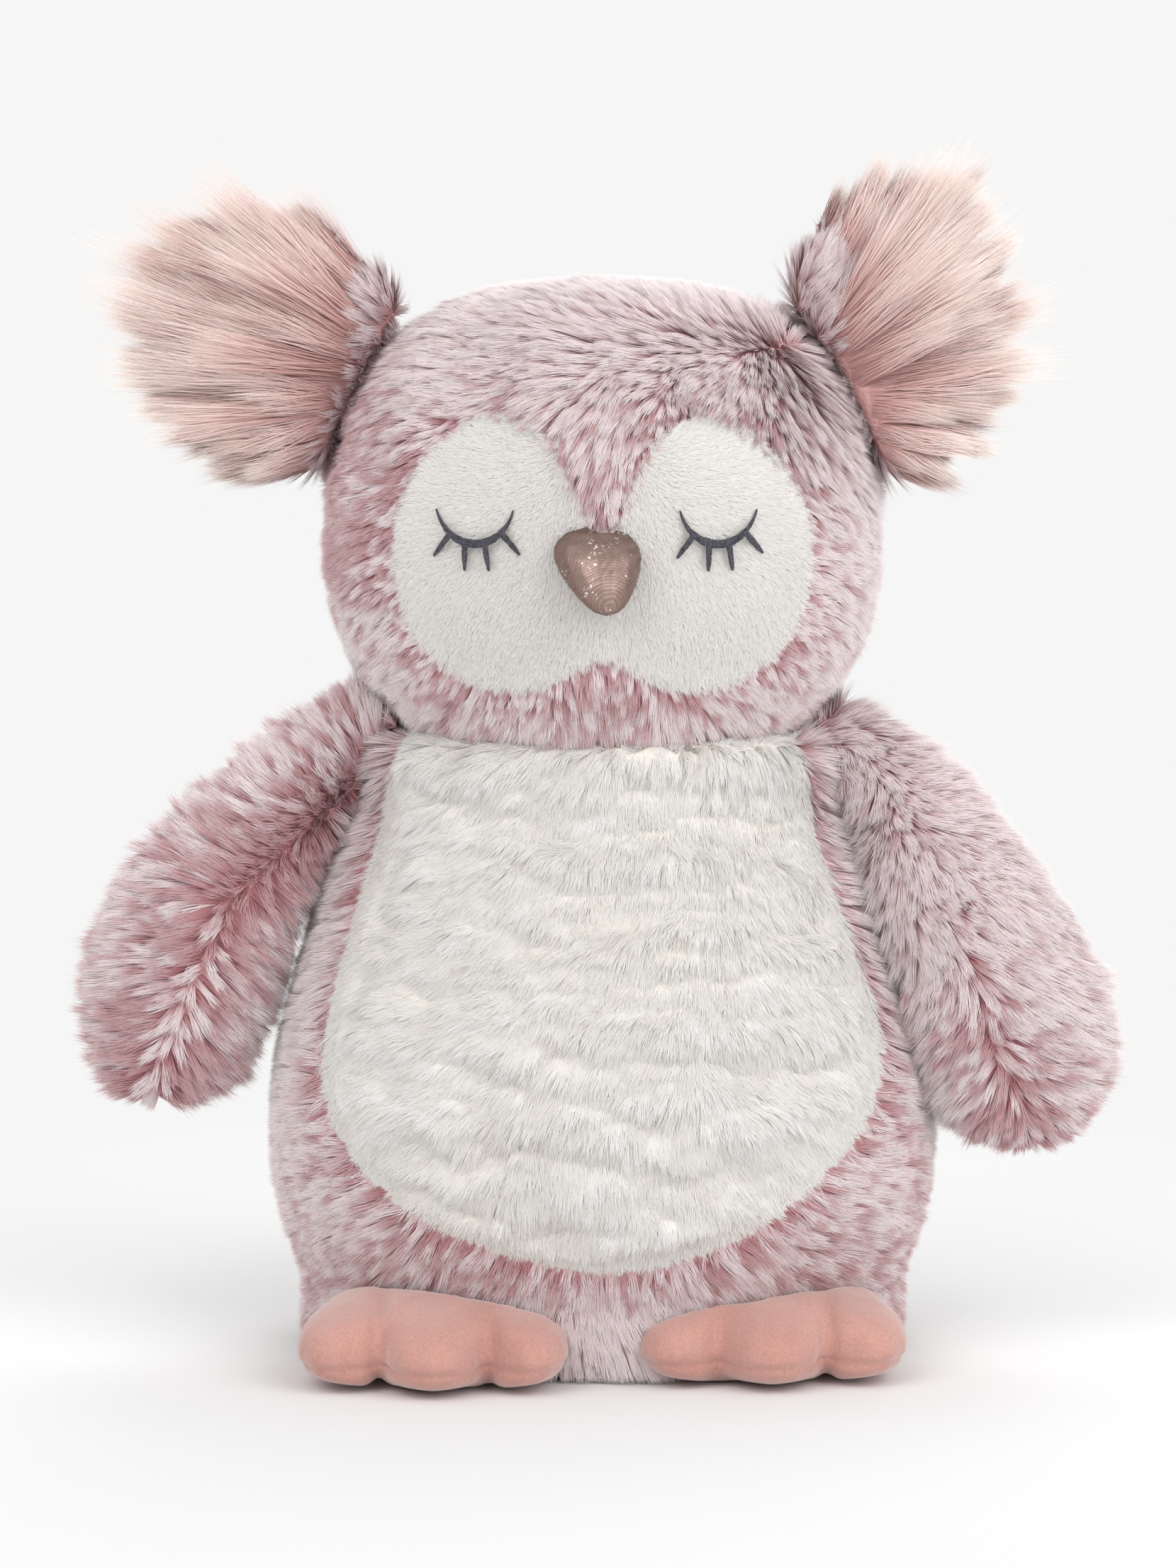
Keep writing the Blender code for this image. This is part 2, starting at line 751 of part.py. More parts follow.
def ear(side_name, sign, seat, length, seam_lean, turn, half_fan, lock_shares):
    """A fan of locks that springs from a short seam on the side of the head, backed by a plush leaf."""
    lean = math.radians(seam_lean)
    seam = Vector((-sign * math.sin(lean), 0, math.cos(lean)))
    out = Vector((sign * math.cos(lean), 0, math.sin(lean)))
    far = Vector((length + cutter_overrun, far_side.y, length + cutter_overrun))
    heads = []
    for degrees in (-ear_flop, 0, ear_flop):
        form = soft_form(f"{side_name}_ear_head_{degrees}", head_cage, seam_gap)
        heads.append(turned_about(form, seat, seam, degrees))

    fan = None
    for number, (place_share, swing_share, reach_share) in enumerate(lock_shares):
        swing = math.radians(turn + half_fan * swing_share)
        along = out * math.cos(swing) + seam * math.sin(swing)
        across = along.cross(Vector((0, 1, 0))) * ear_lock_width / 2
        through = Vector((0, ear_lock_thickness / 2, 0))
        root = seat + seam * place_share * ear_seam_length / 2 - along * ear_root_sink
        stations = []
        for along_share, girth_share in ear_lock_ring_shares:
            middle = root + along * (length * reach_share + ear_root_sink) * along_share
            stations.append((middle, across * girth_share, through * girth_share))
        cage = ring_cage(f"{side_name}_ear_lock_{number}", stations, round_outline(ear_lock_sides))
        lock = soft_form(cage.name, cage)
        # The locks share their roots' ridges, where the exact solver can lose them all
        fan = boolean(fan, lock, "UNION", "MANIFOLD") if fan else lock
    tuft = solid_copy(side_name + "_ear_tuft", fan, long_pile)
    boolean(tuft, block(side_name + "_ear_behind", seat + Vector((-far.x, ear_split, -far.z)), seat + far))

    stations = []
    for along_share, girth_share in ear_leaf_ring_shares:
        middle = seat + out * (ear_backing_length * along_share - ear_root_sink) + Vector((0, ear_split, 0))
        through = Vector((0, ear_backing_thickness / 2 * girth_share, 0))
        stations.append((middle, seam * ear_backing_width / 2 * girth_share, through))
    leaf_cage = ring_cage(side_name + "_ear_leaf", stations, round_outline(ear_backing_sides))
    backing = soft_form(side_name + "_ear_backing", leaf_cage, 0, tipped_plush)
    front_corner = Vector((far.x, ear_split + seam_gap, far.z))
    boolean(backing, block(side_name + "_ear_before", seat - far, seat + front_corner))
    # The head's three places nearly coincide along the seam, where the exact solver loses a whole piece
    for piece in (tuft, backing):
        for form in heads:
            boolean(piece, form, solver="MANIFOLD")
    return [tuft, backing]


# Feet


def foot_cage(side_name, sign, setback):
    """A low cushion with three toes, whose top rises towards the torso."""
    middle_depth = -foot_front + foot_length / 2 + setback
    stations = []
    for up_share, size_share, rise_share in foot_ring_shares:
        across = Vector((sign * foot_width / 2 * size_share, 0, 0))
        through = Vector((0, foot_length / 2 * size_share, foot_rise / 2 * rise_share))
        middle = Vector((sign * foot_spread, middle_depth, foot_height * up_share))
        stations.append((middle, across, through))
    return ring_cage(side_name + "_foot_cage", stations, foot_outline_shares)


def foot(side_name, sign, setback, torso_form):
    cage = foot_cage(side_name, sign, setback)
    lining = soft_form(side_name + "_foot_lining", cage, -velour_wall)
    keep(lining, level_block(side_name + "_foot_room", velour_wall, top_reach))
    pieces = []
    seam = foot_seam_height
    for part_name, bottom, top in (("sole", 0, seam), ("upper", seam + seam_gap, top_reach)):
        skin = soft_form(f"{side_name}_foot_{part_name}", cage, 0, velour)
        keep(skin, level_block(f"{side_name}_{part_name}_levels", bottom, top))
        boolean(skin, torso_form)
        boolean(skin, lining)
        pieces.append(skin)
    filling = soft_form(side_name + "_foot_filling", cage, -velour_wall - seam_gap, fibre)
    keep(filling, level_block(side_name + "_filling_levels", velour_wall + seam_gap, top_reach))
    boolean(filling, torso_form)
    pieces.append(filling)
    return pieces


def main():
    torso_form = torso_room()
    rooms = (torso_form, head_sweep())
    torso()
    hang_on(joint_empty("neck_joint", Vector((0, 0, torso_height))), *head())
    wings = (
        ("right", -1, right_wing_width, right_wing_reach, right_wing_drop, right_wing_forward,
         torso_height - right_shoulder_drop, right_wing_line_shares),
        ("left", 1, left_wing_width, left_wing_reach, left_wing_drop, left_wing_forward,
         torso_height - left_shoulder_drop, left_wing_line_shares),
    )
    for side_name, sign, width, reach, drop, forward, shoulder_height, line_shares in wings:
        place = Vector((sign * wing_pivot_spread, 0, shoulder_height + width / 2 * wing_root_share))
        shape = (width, reach, drop, forward, shoulder_height, line_shares)
        hang_on(joint_empty(side_name + "_shoulder", place), *wing(side_name, sign, place, *shape, rooms))
    ears = (
        ("right", -1, right_ear_seat_shares, right_ear_length, right_ear_seam_lean, right_ear_turn,
         right_ear_half_fan, right_ear_lock_shares),
        ("left", 1, left_ear_seat_shares, left_ear_length, left_ear_seam_lean, left_ear_turn,
         left_ear_half_fan, left_ear_lock_shares),
    )
    for side_name, sign, (out_share, up_share), *fan in ears:
        seat = Vector((sign * head_width / 2 * out_share, 0, torso_height + head_height * up_share))
        hang_on(joint_empty(side_name + "_ear_root", seat), *ear(side_name, sign, seat, *fan))
    foot("right", -1, 0, torso_form)
    foot("left", 1, left_foot_setback, torso_form)


main()
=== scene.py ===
import math

import bmesh
import bpy
import numpy as np
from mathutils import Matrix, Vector, noise
from mathutils.bvhtree import BVHTree


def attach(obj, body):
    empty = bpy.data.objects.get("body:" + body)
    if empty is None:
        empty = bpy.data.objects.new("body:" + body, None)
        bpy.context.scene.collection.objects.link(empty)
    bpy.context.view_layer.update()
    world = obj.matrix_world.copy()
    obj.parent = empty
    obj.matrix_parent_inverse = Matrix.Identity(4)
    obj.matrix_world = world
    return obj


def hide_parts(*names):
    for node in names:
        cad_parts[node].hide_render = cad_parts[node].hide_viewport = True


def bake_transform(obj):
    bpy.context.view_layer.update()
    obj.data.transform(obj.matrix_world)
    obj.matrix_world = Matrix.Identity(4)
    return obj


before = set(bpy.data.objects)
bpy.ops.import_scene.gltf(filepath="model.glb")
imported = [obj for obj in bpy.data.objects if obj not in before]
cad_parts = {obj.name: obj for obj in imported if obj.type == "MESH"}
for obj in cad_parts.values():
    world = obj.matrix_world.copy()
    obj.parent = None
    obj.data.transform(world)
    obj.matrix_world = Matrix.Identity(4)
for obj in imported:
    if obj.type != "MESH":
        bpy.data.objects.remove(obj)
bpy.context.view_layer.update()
mm = 0.001


# Meshes as arrays

def linked(name, mesh):
    made = bpy.data.objects.new(name, mesh)
    bpy.context.scene.collection.objects.link(made)
    return made


def pointsOf(mesh):
    flat = np.empty(len(mesh.vertices) * 3, np.float32)
    mesh.vertices.foreach_get("co", flat)
    return flat.reshape(-1, 3).astype(float)


def normalsOf(mesh):
    flat = np.empty(len(mesh.vertices) * 3, np.float32)
    mesh.vertices.foreach_get("normal", flat)
    return flat.reshape(-1, 3).astype(float)


def setPoints(mesh, points):
    mesh.vertices.foreach_set("co", points.astype(np.float32).ravel())
    mesh.update()


def unit(vectors):
    return vectors / np.maximum(np.linalg.norm(vectors, axis=-1, keepdims=True), 1e-9)


def ease(low, high, values):
    share = np.clip((values - low) / (high - low), 0, 1)
    return share * share * (3 - 2 * share)


def evaluatedMesh(made):
    graph = bpy.context.evaluated_depsgraph_get()
    return bpy.data.meshes.new_from_object(made.evaluated_get(graph), depsgraph=graph)


def paint(mesh, name, values):
    kind = "FLOAT_VECTOR" if values.ndim == 2 else "FLOAT"
    layer = mesh.attributes.get(name) or mesh.attributes.new(name, kind, "POINT")
    layer.data.foreach_set("vector" if kind == "FLOAT_VECTOR" else "value", values.astype(np.float32).ravel())


def nodeTree(names):
    corners, faces = [], []
    for name in names:
        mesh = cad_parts[name].data
        start = len(corners)
        corners += [tuple(vertex.co) for vertex in mesh.vertices]
        faces += [tuple(start + corner for corner in face.vertices) for face in mesh.polygons]
    return BVHTree.FromPolygons(corners, faces)


def distancesTo(tree, points):
    return np.array([tree.find_nearest(Vector(point))[3] for point in points])


# Node trees

def addNode(tree, kind, inputs=(), **settings):
    made = tree.nodes.new(kind)
    for name, value in settings.items():
        setattr(made, name, value)
    for key, value in dict(inputs).items():
        if isinstance(value, bpy.types.NodeSocket):
            tree.links.new(value, made.inputs[key])
        else:
            made.inputs[key].default_value = value
    return made


def calc(tree, operation, *values):
    return addNode(tree, "ShaderNodeMath", enumerate(values), operation=operation).outputs[0]


def vecCalc(tree, operation, *values):
    if operation == "SCALE":
        made = addNode(tree, "ShaderNodeVectorMath", {0: values[0], "Scale": values[1]}, operation=operation)
    else:
        made = addNode(tree, "ShaderNodeVectorMath", enumerate(values), operation=operation)
    return made.outputs["Value" if operation in ("DOT_PRODUCT", "LENGTH") else "Vector"]


# Stuffed forms: each is one closed shape made from its CAD solids

def stuffedForm(name, nodeNames, voxel, rounds, inset=0.0, keepShare=None):
    shape = bmesh.new()
    for nodeName in nodeNames:
        shape.from_mesh(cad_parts[nodeName].data)
    bmesh.ops.remove_doubles(shape, verts=shape.verts, dist=1e-6)
    mesh = bpy.data.meshes.new(name)
    shape.to_mesh(mesh)
    shape.free()
    made = linked(name, mesh)
    stuffing = made.modifiers.new("stuffing", "REMESH")
    stuffing.mode = "VOXEL"
    stuffing.voxel_size = voxel
    softened = made.modifiers.new("softened", "SMOOTH")
    softened.iterations = rounds
    softened.factor = 0.5
    made.data = evaluatedMesh(made)
    made.modifiers.clear()
    if inset:
        points, normals = pointsOf(made.data), normalsOf(made.data)
        shift = normals * inset
        if keepShare is not None:
            shift *= keepShare(points)[:, None]
        setPoints(made.data, points - shift)
        settled = made.modifiers.new("settled", "SMOOTH")
        settled.iterations = 4
        made.data = evaluatedMesh(made)
        made.modifiers.clear()
    made.data.shade_smooth()
    return made


# The pile: blades that grow from a form in clumps, along the nap painted on it

def bladeMesh(name, cuts):
    corners, faces = [], []
    for cut in cuts:
        corners += [(-1, cut), (1, cut)]
    for left in range(0, len(corners) - 2, 2):
        faces.append((left, left + 1, left + 3, left + 2))
    faces.append((len(corners) - 2, len(corners) - 1, len(corners)))
    corners.append((0, 1))
    mesh = bpy.data.meshes.new(name)
    mesh.from_pydata([(across, along, 0) for across, along in corners], [], faces)
    paint(mesh, "across", np.array([across for across, along in corners], float))
    paint(mesh, "along", np.array([along for across, along in corners], float))
    made = linked(name, mesh)
    made.hide_render = True
    return made


pileInputs = (
    ("Blade", "NodeSocketObject", None),
    ("Density", "NodeSocketFloat", 1e6),
    ("Clump Density", "NodeSocketFloat", 1e5),
    ("Length", "NodeSocketFloat", 1.0),
    ("Width", "NodeSocketFloat", 0.0004),
    ("Flatten", "NodeSocketFloat", 1.0),
    ("Rise", "NodeSocketFloat", 0.75),
    ("Sag", "NodeSocketFloat", 0.35),
    ("Reach", "NodeSocketFloat", 0.5),
    ("Curl", "NodeSocketFloat", 0.35),
    ("Pull", "NodeSocketFloat", 0.7),
    ("Swirl", "NodeSocketFloat", 0.5),
    ("Swirl Scale", "NodeSocketFloat", 60.0),
    ("Clump Scatter", "NodeSocketFloat", 0.3),
    ("Hair Scatter", "NodeSocketFloat", 0.15),
    ("Length Spread", "NodeSocketFloat", 0.25),
    ("Tone Contrast", "NodeSocketFloat", 3.0),
    ("Patch Scale", "NodeSocketFloat", 45.0),
    ("Patch Depth", "NodeSocketFloat", 0.8),
    ("Seed", "NodeSocketInt", 1),
    ("Material", "NodeSocketMaterial", None),
)


def makePileTree():
    tree = bpy.data.node_groups.new("plushPile", "GeometryNodeTree")
    tree.interface.new_socket("Geometry", in_out="INPUT", socket_type="NodeSocketGeometry")
    for name, kind, default in pileInputs:
        item = tree.interface.new_socket(name, in_out="INPUT", socket_type=kind)
        if default is not None:
            item.default_value = default
    tree.interface.new_socket("Geometry", in_out="OUTPUT", socket_type="NodeSocketGeometry")
    given = addNode(tree, "NodeGroupInput").outputs
    here = addNode(tree, "GeometryNodeInputPosition").outputs[0]

    def named(name, kind):
        return addNode(tree, "GeometryNodeInputNamedAttribute", {"Name": name}, data_type=kind).outputs["Attribute"]

    def store(geometry, name, kind, value, domain="POINT"):
        return addNode(tree, "GeometryNodeStoreNamedAttribute", {"Geometry": geometry, "Name": name, "Value": value},
                       data_type=kind, domain=domain).outputs["Geometry"]

    # Clump centres
    centres = addNode(tree, "GeometryNodeDistributePointsOnFaces",
                      {"Mesh": given["Geometry"], "Density": given["Clump Density"], "Seed": given["Seed"]})
    clumps = store(centres.outputs["Points"], "clumpUp", "FLOAT_VECTOR", centres.outputs["Normal"])
    # One root for each hair
    roots = addNode(tree, "GeometryNodeDistributePointsOnFaces",
                    {"Mesh": given["Geometry"], "Density": given["Density"],
                     "Seed": calc(tree, "ADD", given["Seed"], 7.0)})
    nearest = addNode(tree, "GeometryNodeSampleNearest", {"Geometry": clumps, "Sample Position": here},
                      domain="POINT").outputs[0]

    def ofClump(kind, value):
        return addNode(tree, "GeometryNodeSampleIndex", {"Geometry": clumps, "Value": value, "Index": nearest},
                       data_type=kind, domain="POINT").outputs["Value"]

    clumpPlace = ofClump("FLOAT_VECTOR", here)
    clumpUp = ofClump("FLOAT_VECTOR", named("clumpUp", "FLOAT_VECTOR"))
    clumpNap = ofClump("FLOAT_VECTOR", named("nap", "FLOAT_VECTOR"))

    def drawn(seed, low, high, perClump):
        inputs = {2: low, 3: high, "Seed": calc(tree, "ADD", given["Seed"], seed)}
        if perClump:
            inputs["ID"] = nearest
        return addNode(tree, "FunctionNodeRandomValue", inputs, data_type="FLOAT").outputs[1]

    def drawnVector(seed, perClump):
        inputs = {0: (-1, -1, -1), 1: (1, 1, 1), "Seed": calc(tree, "ADD", given["Seed"], seed)}
        if perClump:
            inputs["ID"] = nearest
        return addNode(tree, "FunctionNodeRandomValue", inputs, data_type="FLOAT_VECTOR").outputs[0]

    swirl = addNode(tree, "ShaderNodeTexNoise", {"Vector": clumpPlace, "Scale": given["Swirl Scale"], "Detail": 1.0})
    swirl = vecCalc(tree, "SUBTRACT", swirl.outputs["Color"], (0.5, 0.5, 0.5))
    lean = vecCalc(tree, "ADD", clumpNap, vecCalc(tree, "SCALE", swirl, calc(tree, "MULTIPLY", given["Swirl"], 3.0)))
    lean = vecCalc(tree, "ADD", lean, vecCalc(tree, "SCALE", drawnVector(11, True), given["Clump Scatter"]))
    lean = vecCalc(tree, "ADD", lean, vecCalc(tree, "SCALE", drawnVector(12, False), given["Hair Scatter"]))
    inward = calc(tree, "MULTIPLY", vecCalc(tree, "DOT_PRODUCT", lean, clumpUp), given["Flatten"])
    inward = vecCalc(tree, "SCALE", clumpUp, inward)
    lean = vecCalc(tree, "SUBTRACT", lean, inward)

    tall = calc(tree, "MULTIPLY", given["Length"], named("pileLength", "FLOAT"))
    spread = calc(tree, "MULTIPLY", given["Length Spread"], drawn(13, -1.0, 1.0, True))
    tall = calc(tree, "MULTIPLY", tall, calc(tree, "ADD", 1.0, spread))
    tall = calc(tree, "MULTIPLY", tall, drawn(14, 0.82, 1.08, False))

    patches = addNode(tree, "ShaderNodeTexNoise", {"Vector": clumpPlace, "Scale": given["Patch Scale"], "Detail": 2.0})
    patch = calc(tree, "MULTIPLY", calc(tree, "SUBTRACT", patches.outputs[0], 0.5), given["Patch Depth"])
    # A clump shows its dark roots where its draw falls under the share of dark ones here; in places that share is
    # raised for painted shade or lowered for painted light
    dark = calc(tree, "ADD", ofClump("FLOAT", named("darkShare", "FLOAT")), patch)
    tone = calc(tree, "SUBTRACT", drawn(15, 0.0, 1.0, True), dark)
    tone = calc(tree, "MULTIPLY_ADD", tone, given["Tone Contrast"], 0.5)
    tone = calc(tree, "MINIMUM", calc(tree, "MAXIMUM", tone, 0.0), 0.92)
    tone = calc(tree, "ADD", tone, drawn(16, 0.0, 0.08, False))

    hairs = roots.outputs["Points"]
    hairs = store(hairs, "root", "FLOAT_VECTOR", here)
    hairs = store(hairs, "up", "FLOAT_VECTOR", roots.outputs["Normal"])
    hairs = store(hairs, "inPull", "FLOAT_VECTOR",
                  vecCalc(tree, "SCALE", vecCalc(tree, "SUBTRACT", clumpPlace, here), given["Pull"]))
    hairs = store(hairs, "lean", "FLOAT_VECTOR", lean)
    hairs = store(hairs, "tall", "FLOAT", tall)
    hairs = store(hairs, "stand", "FLOAT", calc(tree, "ADD", 1.0, named("lift", "FLOAT")))
    hairs = store(hairs, "tone", "FLOAT", tone)
    hairs = store(hairs, "twist", "FLOAT", drawn(17, -0.2, 0.2, False))
    grows = calc(tree, "GREATER_THAN", named("grows", "FLOAT"), 0.0)
    blade = addNode(tree, "GeometryNodeObjectInfo", {"Object": given["Blade"]}).outputs["Geometry"]
    placed = addNode(tree, "GeometryNodeInstanceOnPoints", {"Points": hairs, "Selection": grows, "Instance": blade})
    grown = addNode(tree, "GeometryNodeRealizeInstances", {"Geometry": placed.outputs[0]}).outputs[0]

    along, across = named("along", "FLOAT"), named("across", "FLOAT")
    height = named("tall", "FLOAT")
    up, out = named("up", "FLOAT_VECTOR"), named("lean", "FLOAT_VECTOR")
    rise = calc(tree, "SUBTRACT", given["Rise"], calc(tree, "MULTIPLY", given["Sag"], along))
    rise = calc(tree, "MULTIPLY", calc(tree, "MULTIPLY", rise, along), calc(tree, "MULTIPLY", height, named("stand", "FLOAT")))
    reach = calc(tree, "ADD", given["Reach"], calc(tree, "MULTIPLY", given["Curl"], along))
    reach = calc(tree, "MULTIPLY", calc(tree, "MULTIPLY", reach, along), height)
    drawnIn = vecCalc(tree, "SCALE", named("inPull", "FLOAT_VECTOR"), calc(tree, "MULTIPLY", along, along))
    middle = vecCalc(tree, "ADD", named("root", "FLOAT_VECTOR"), vecCalc(tree, "SCALE", up, rise))
    middle = vecCalc(tree, "ADD", middle, vecCalc(tree, "SCALE", out, reach))
    middle = vecCalc(tree, "ADD", middle, drawnIn)
    flat = vecCalc(tree, "NORMALIZE", vecCalc(tree, "CROSS_PRODUCT", out, up))
    flat = vecCalc(tree, "ADD", flat, vecCalc(tree, "SCALE", up, named("twist", "FLOAT")))
    half = calc(tree, "MULTIPLY", calc(tree, "SUBTRACT", 0.5, calc(tree, "MULTIPLY", along, 0.2)), given["Width"])
    place = vecCalc(tree, "ADD", middle, vecCalc(tree, "SCALE", flat, calc(tree, "MULTIPLY", half, across)))
    # No hair goes through the floor
    parts = addNode(tree, "ShaderNodeSeparateXYZ", {0: place}).outputs
    place = addNode(tree, "ShaderNodeCombineXYZ",
                    {0: parts[0], 1: parts[1], 2: calc(tree, "MAXIMUM", parts[2], 0.0003)}).outputs[0]
    grown = addNode(tree, "GeometryNodeSetPosition", {"Geometry": grown, "Position": place}).outputs[0]
    # Across the map is a hair's tone, and up it is the way from root to tip
    shade = calc(tree, "MULTIPLY_ADD", named("tone", "FLOAT"), 0.94, 0.03)
    shade = calc(tree, "ADD", shade, calc(tree, "MULTIPLY", across, 0.02))
    step = calc(tree, "MULTIPLY_ADD", along, 0.98, 0.01)
    grown = store(grown, "OFBake", "FLOAT2", addNode(tree, "ShaderNodeCombineXYZ", {0: shade, 1: step}).outputs[0], "CORNER")
    dressed = addNode(tree, "GeometryNodeSetMaterial", {"Geometry": grown, "Material": given["Material"]})
    addNode(tree, "NodeGroupOutput", {"Geometry": dressed.outputs[0]})
    return tree


pileTree = makePileTree()
shortBlade = bladeMesh("shortBlade", (0,))
longBlade = bladeMesh("longBlade", (0, 0.5))
workingAttributes = ("root", "up", "inPull", "lean", "tall", "stand", "tone", "twist", "across", "along",
                     "nap", "pileLength", "darkShare", "lift", "grows", "clumpUp")


def growPile(name, form, grows, settings, material):
    paint(form.data, "grows", grows)
    made = linked(name, form.data)
    grower = made.modifiers.new("pile", "NODES")
    grower.node_group = pileTree
    chosen = {"Material": material, **settings}
    for item in pileTree.interface.items_tree:
        if item.in_out == "INPUT" and item.name in chosen:
            grower[item.identifier] = chosen[item.name]
    mesh = evaluatedMesh(made)
    made.modifiers.clear()
    made.data = mesh
    mesh.name = name
    # Each hair takes most of its light as the surface under it does
    count = len(mesh.vertices)
    ups = np.empty(count * 3, np.float32)
    mesh.attributes["up"].data.foreach_get("vector", ups)
    mixed = unit(0.4 * normalsOf(mesh) + 0.6 * ups.reshape(-1, 3))
    mesh.shade_smooth()
    mesh.normals_split_custom_set_from_vertices(mixed.tolist())
    for attribute in workingAttributes:
        if attribute in mesh.attributes:
            mesh.attributes.remove(mesh.attributes[attribute])
    print(name, len(mesh.polygons), "faces", len(mesh.loop_triangles), "triangles", flush=True)
    return made


# Finishes

def rgb(red, green, blue):
    return tuple((part / 255 / 12.92 if part <= 10 else ((part / 255 + 0.055) / 1.055) ** 2.4)
                 for part in (red, green, blue)) + (1.0,)


def newMaterial(name, roughness, sheen=0.0, specular=0.3):
    made = bpy.data.materials.new(name)
    made.use_nodes = True
    shader = made.node_tree.nodes["Principled BSDF"]
    shader.inputs["Roughness"].default_value = roughness
    shader.inputs["Sheen Weight"].default_value = sheen
    shader.inputs["Sheen Roughness"].default_value = 0.5
    shader.inputs["Specular IOR Level"].default_value = specular
    return made, made.node_tree, shader


def ramp(tree, factor, stops):
    made = addNode(tree, "ShaderNodeValToRGB", {0: factor})
    points = made.color_ramp.elements
    while len(points) < len(stops):
        points.new(0.5)
    for point, (place, colour) in zip(points, stops):
        point.position = place
        point.color = colour
    return made.outputs[0]


def mixColour(tree, factor, first, second, blend="MIX"):
    made = tree.nodes.new("ShaderNodeMix")
    made.data_type = "RGBA"
    made.blend_type = blend
    for key, value in ((0, factor), (6, first), (7, second)):
        if isinstance(value, bpy.types.NodeSocket):
            tree.links.new(value, made.inputs[key])
        else:
            made.inputs[key].default_value = value
    return made.outputs[2]


def pileMaterial(name, darkStops, paleStops, roughness=0.75, sheen=0.25):
    made, tree, shader = newMaterial(name, roughness, sheen)
    places = addNode(tree, "ShaderNodeUVMap", uv_map="OFBake").outputs[0]
    parts = addNode(tree, "ShaderNodeSeparateXYZ", {0: places}).outputs
    dark = ramp(tree, parts[1], darkStops)
    pale = ramp(tree, parts[1], paleStops)
    tree.links.new(mixColour(tree, parts[0], dark, pale), shader.inputs["Base Color"])
    return made


rosePile = pileMaterial(
    "tippedRosePile",
    ((0.0, rgb(160, 100, 104)), (0.35, rgb(170, 112, 116)), (0.7, rgb(192, 147, 150)), (1.0, rgb(212, 182, 184))),
    ((0.0, rgb(186, 134, 138)), (0.30, rgb(214, 183, 185)), (0.6, rgb(230, 216, 217)), (1.0, rgb(238, 230, 230))),
)
ivoryPile = pileMaterial(
    "ivoryPile",
    ((0.0, rgb(218, 207, 196)), (0.3, rgb(228, 222, 214)), (1.0, rgb(235, 232, 227))),
    ((0.0, rgb(229, 225, 219)), (0.3, rgb(233, 231, 228)), (1.0, rgb(238, 237, 235))),
    sheen=0.05,
)
longPile = pileMaterial(
    "longRosePile",
    ((0.0, rgb(160, 114, 111)), (0.3, rgb(190, 144, 140)), (0.65, rgb(214, 177, 172)), (1.0, rgb(238, 224, 214))),
    ((0.0, rgb(190, 144, 141)), (0.3, rgb(212, 172, 168)), (0.6, rgb(229, 203, 198)), (1.0, rgb(248, 241, 234))),
)


def backingMaterial(name, dark, pale):
    made, tree, shader = newMaterial(name, 0.95, 0.1)
    places = addNode(tree, "ShaderNodeTexCoord").outputs["Object"]
    spots = addNode(tree, "ShaderNodeTexNoise", {"Vector": places, "Scale": 900.0, "Detail": 2.0}).outputs[0]
    tree.links.new(ramp(tree, spots, ((0.35, dark), (0.65, pale))), shader.inputs["Base Color"])
    bump = addNode(tree, "ShaderNodeBump", {"Strength": 0.5, "Distance": 0.0004, "Height": spots})
    tree.links.new(bump.outputs[0], shader.inputs["Normal"])
    return made


roseBacking = backingMaterial("roseBacking", rgb(184, 132, 136), rgb(204, 156, 158))
ivoryBacking = backingMaterial("ivoryBacking", rgb(222, 214, 204), rgb(236, 230, 222))
earBacking = backingMaterial("earBacking", rgb(186, 142, 138), rgb(204, 160, 155))

print("materials made", flush=True)


def wear(pieces, body):
    for piece in pieces:
        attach(piece, body)


# Nap and waves

def alongSurface(vectors, normals):
    return vectors - normals * (vectors * normals).sum(1, keepdims=True)


def combed(points, normals, strokes, reach=14.0):
    strokes = np.array(strokes, float)
    places = points[:, [0, 2]] / mm
    apart = ((places[:, None, :] - strokes[None, :, :2]) ** 2).sum(2)
    weights = np.exp(-apart / (2 * reach * reach)) + 1e-9
    weights /= weights.sum(1, keepdims=True)
    flat = weights @ strokes[:, 2:]
    onTop = ease(0.72, 0.97, normals[:, 2])
    # Hair that is combed towards its own side turns to the back, more so than hair that is combed across
    turned = np.abs(flat[:, 0]) * np.where(points[:, 0] * flat[:, 0] > 0, 0.7, 0.45)
    nap = np.stack([flat[:, 0], turned * (1 - onTop) + 0.8 * onTop, flat[:, 1]], 1)
    behind = ease(5 * mm, 40 * mm, points[:, 1])[:, None]
    nap = alongSurface(nap * (1 - behind) + np.array([0.0, 0.0, -1.0]) * behind, normals)
    return nap / np.maximum(np.linalg.norm(nap, axis=1, keepdims=True), 0.75)


def waves(points, scales, seed, octaves=3):
    shift = Vector((seed * 7.3, seed * 3.1, seed * 5.7))
    return np.array([noise.fractal(Vector(point) + shift, 0.6, 2.1, octaves) for point in points * np.array(scales)])


# Torso

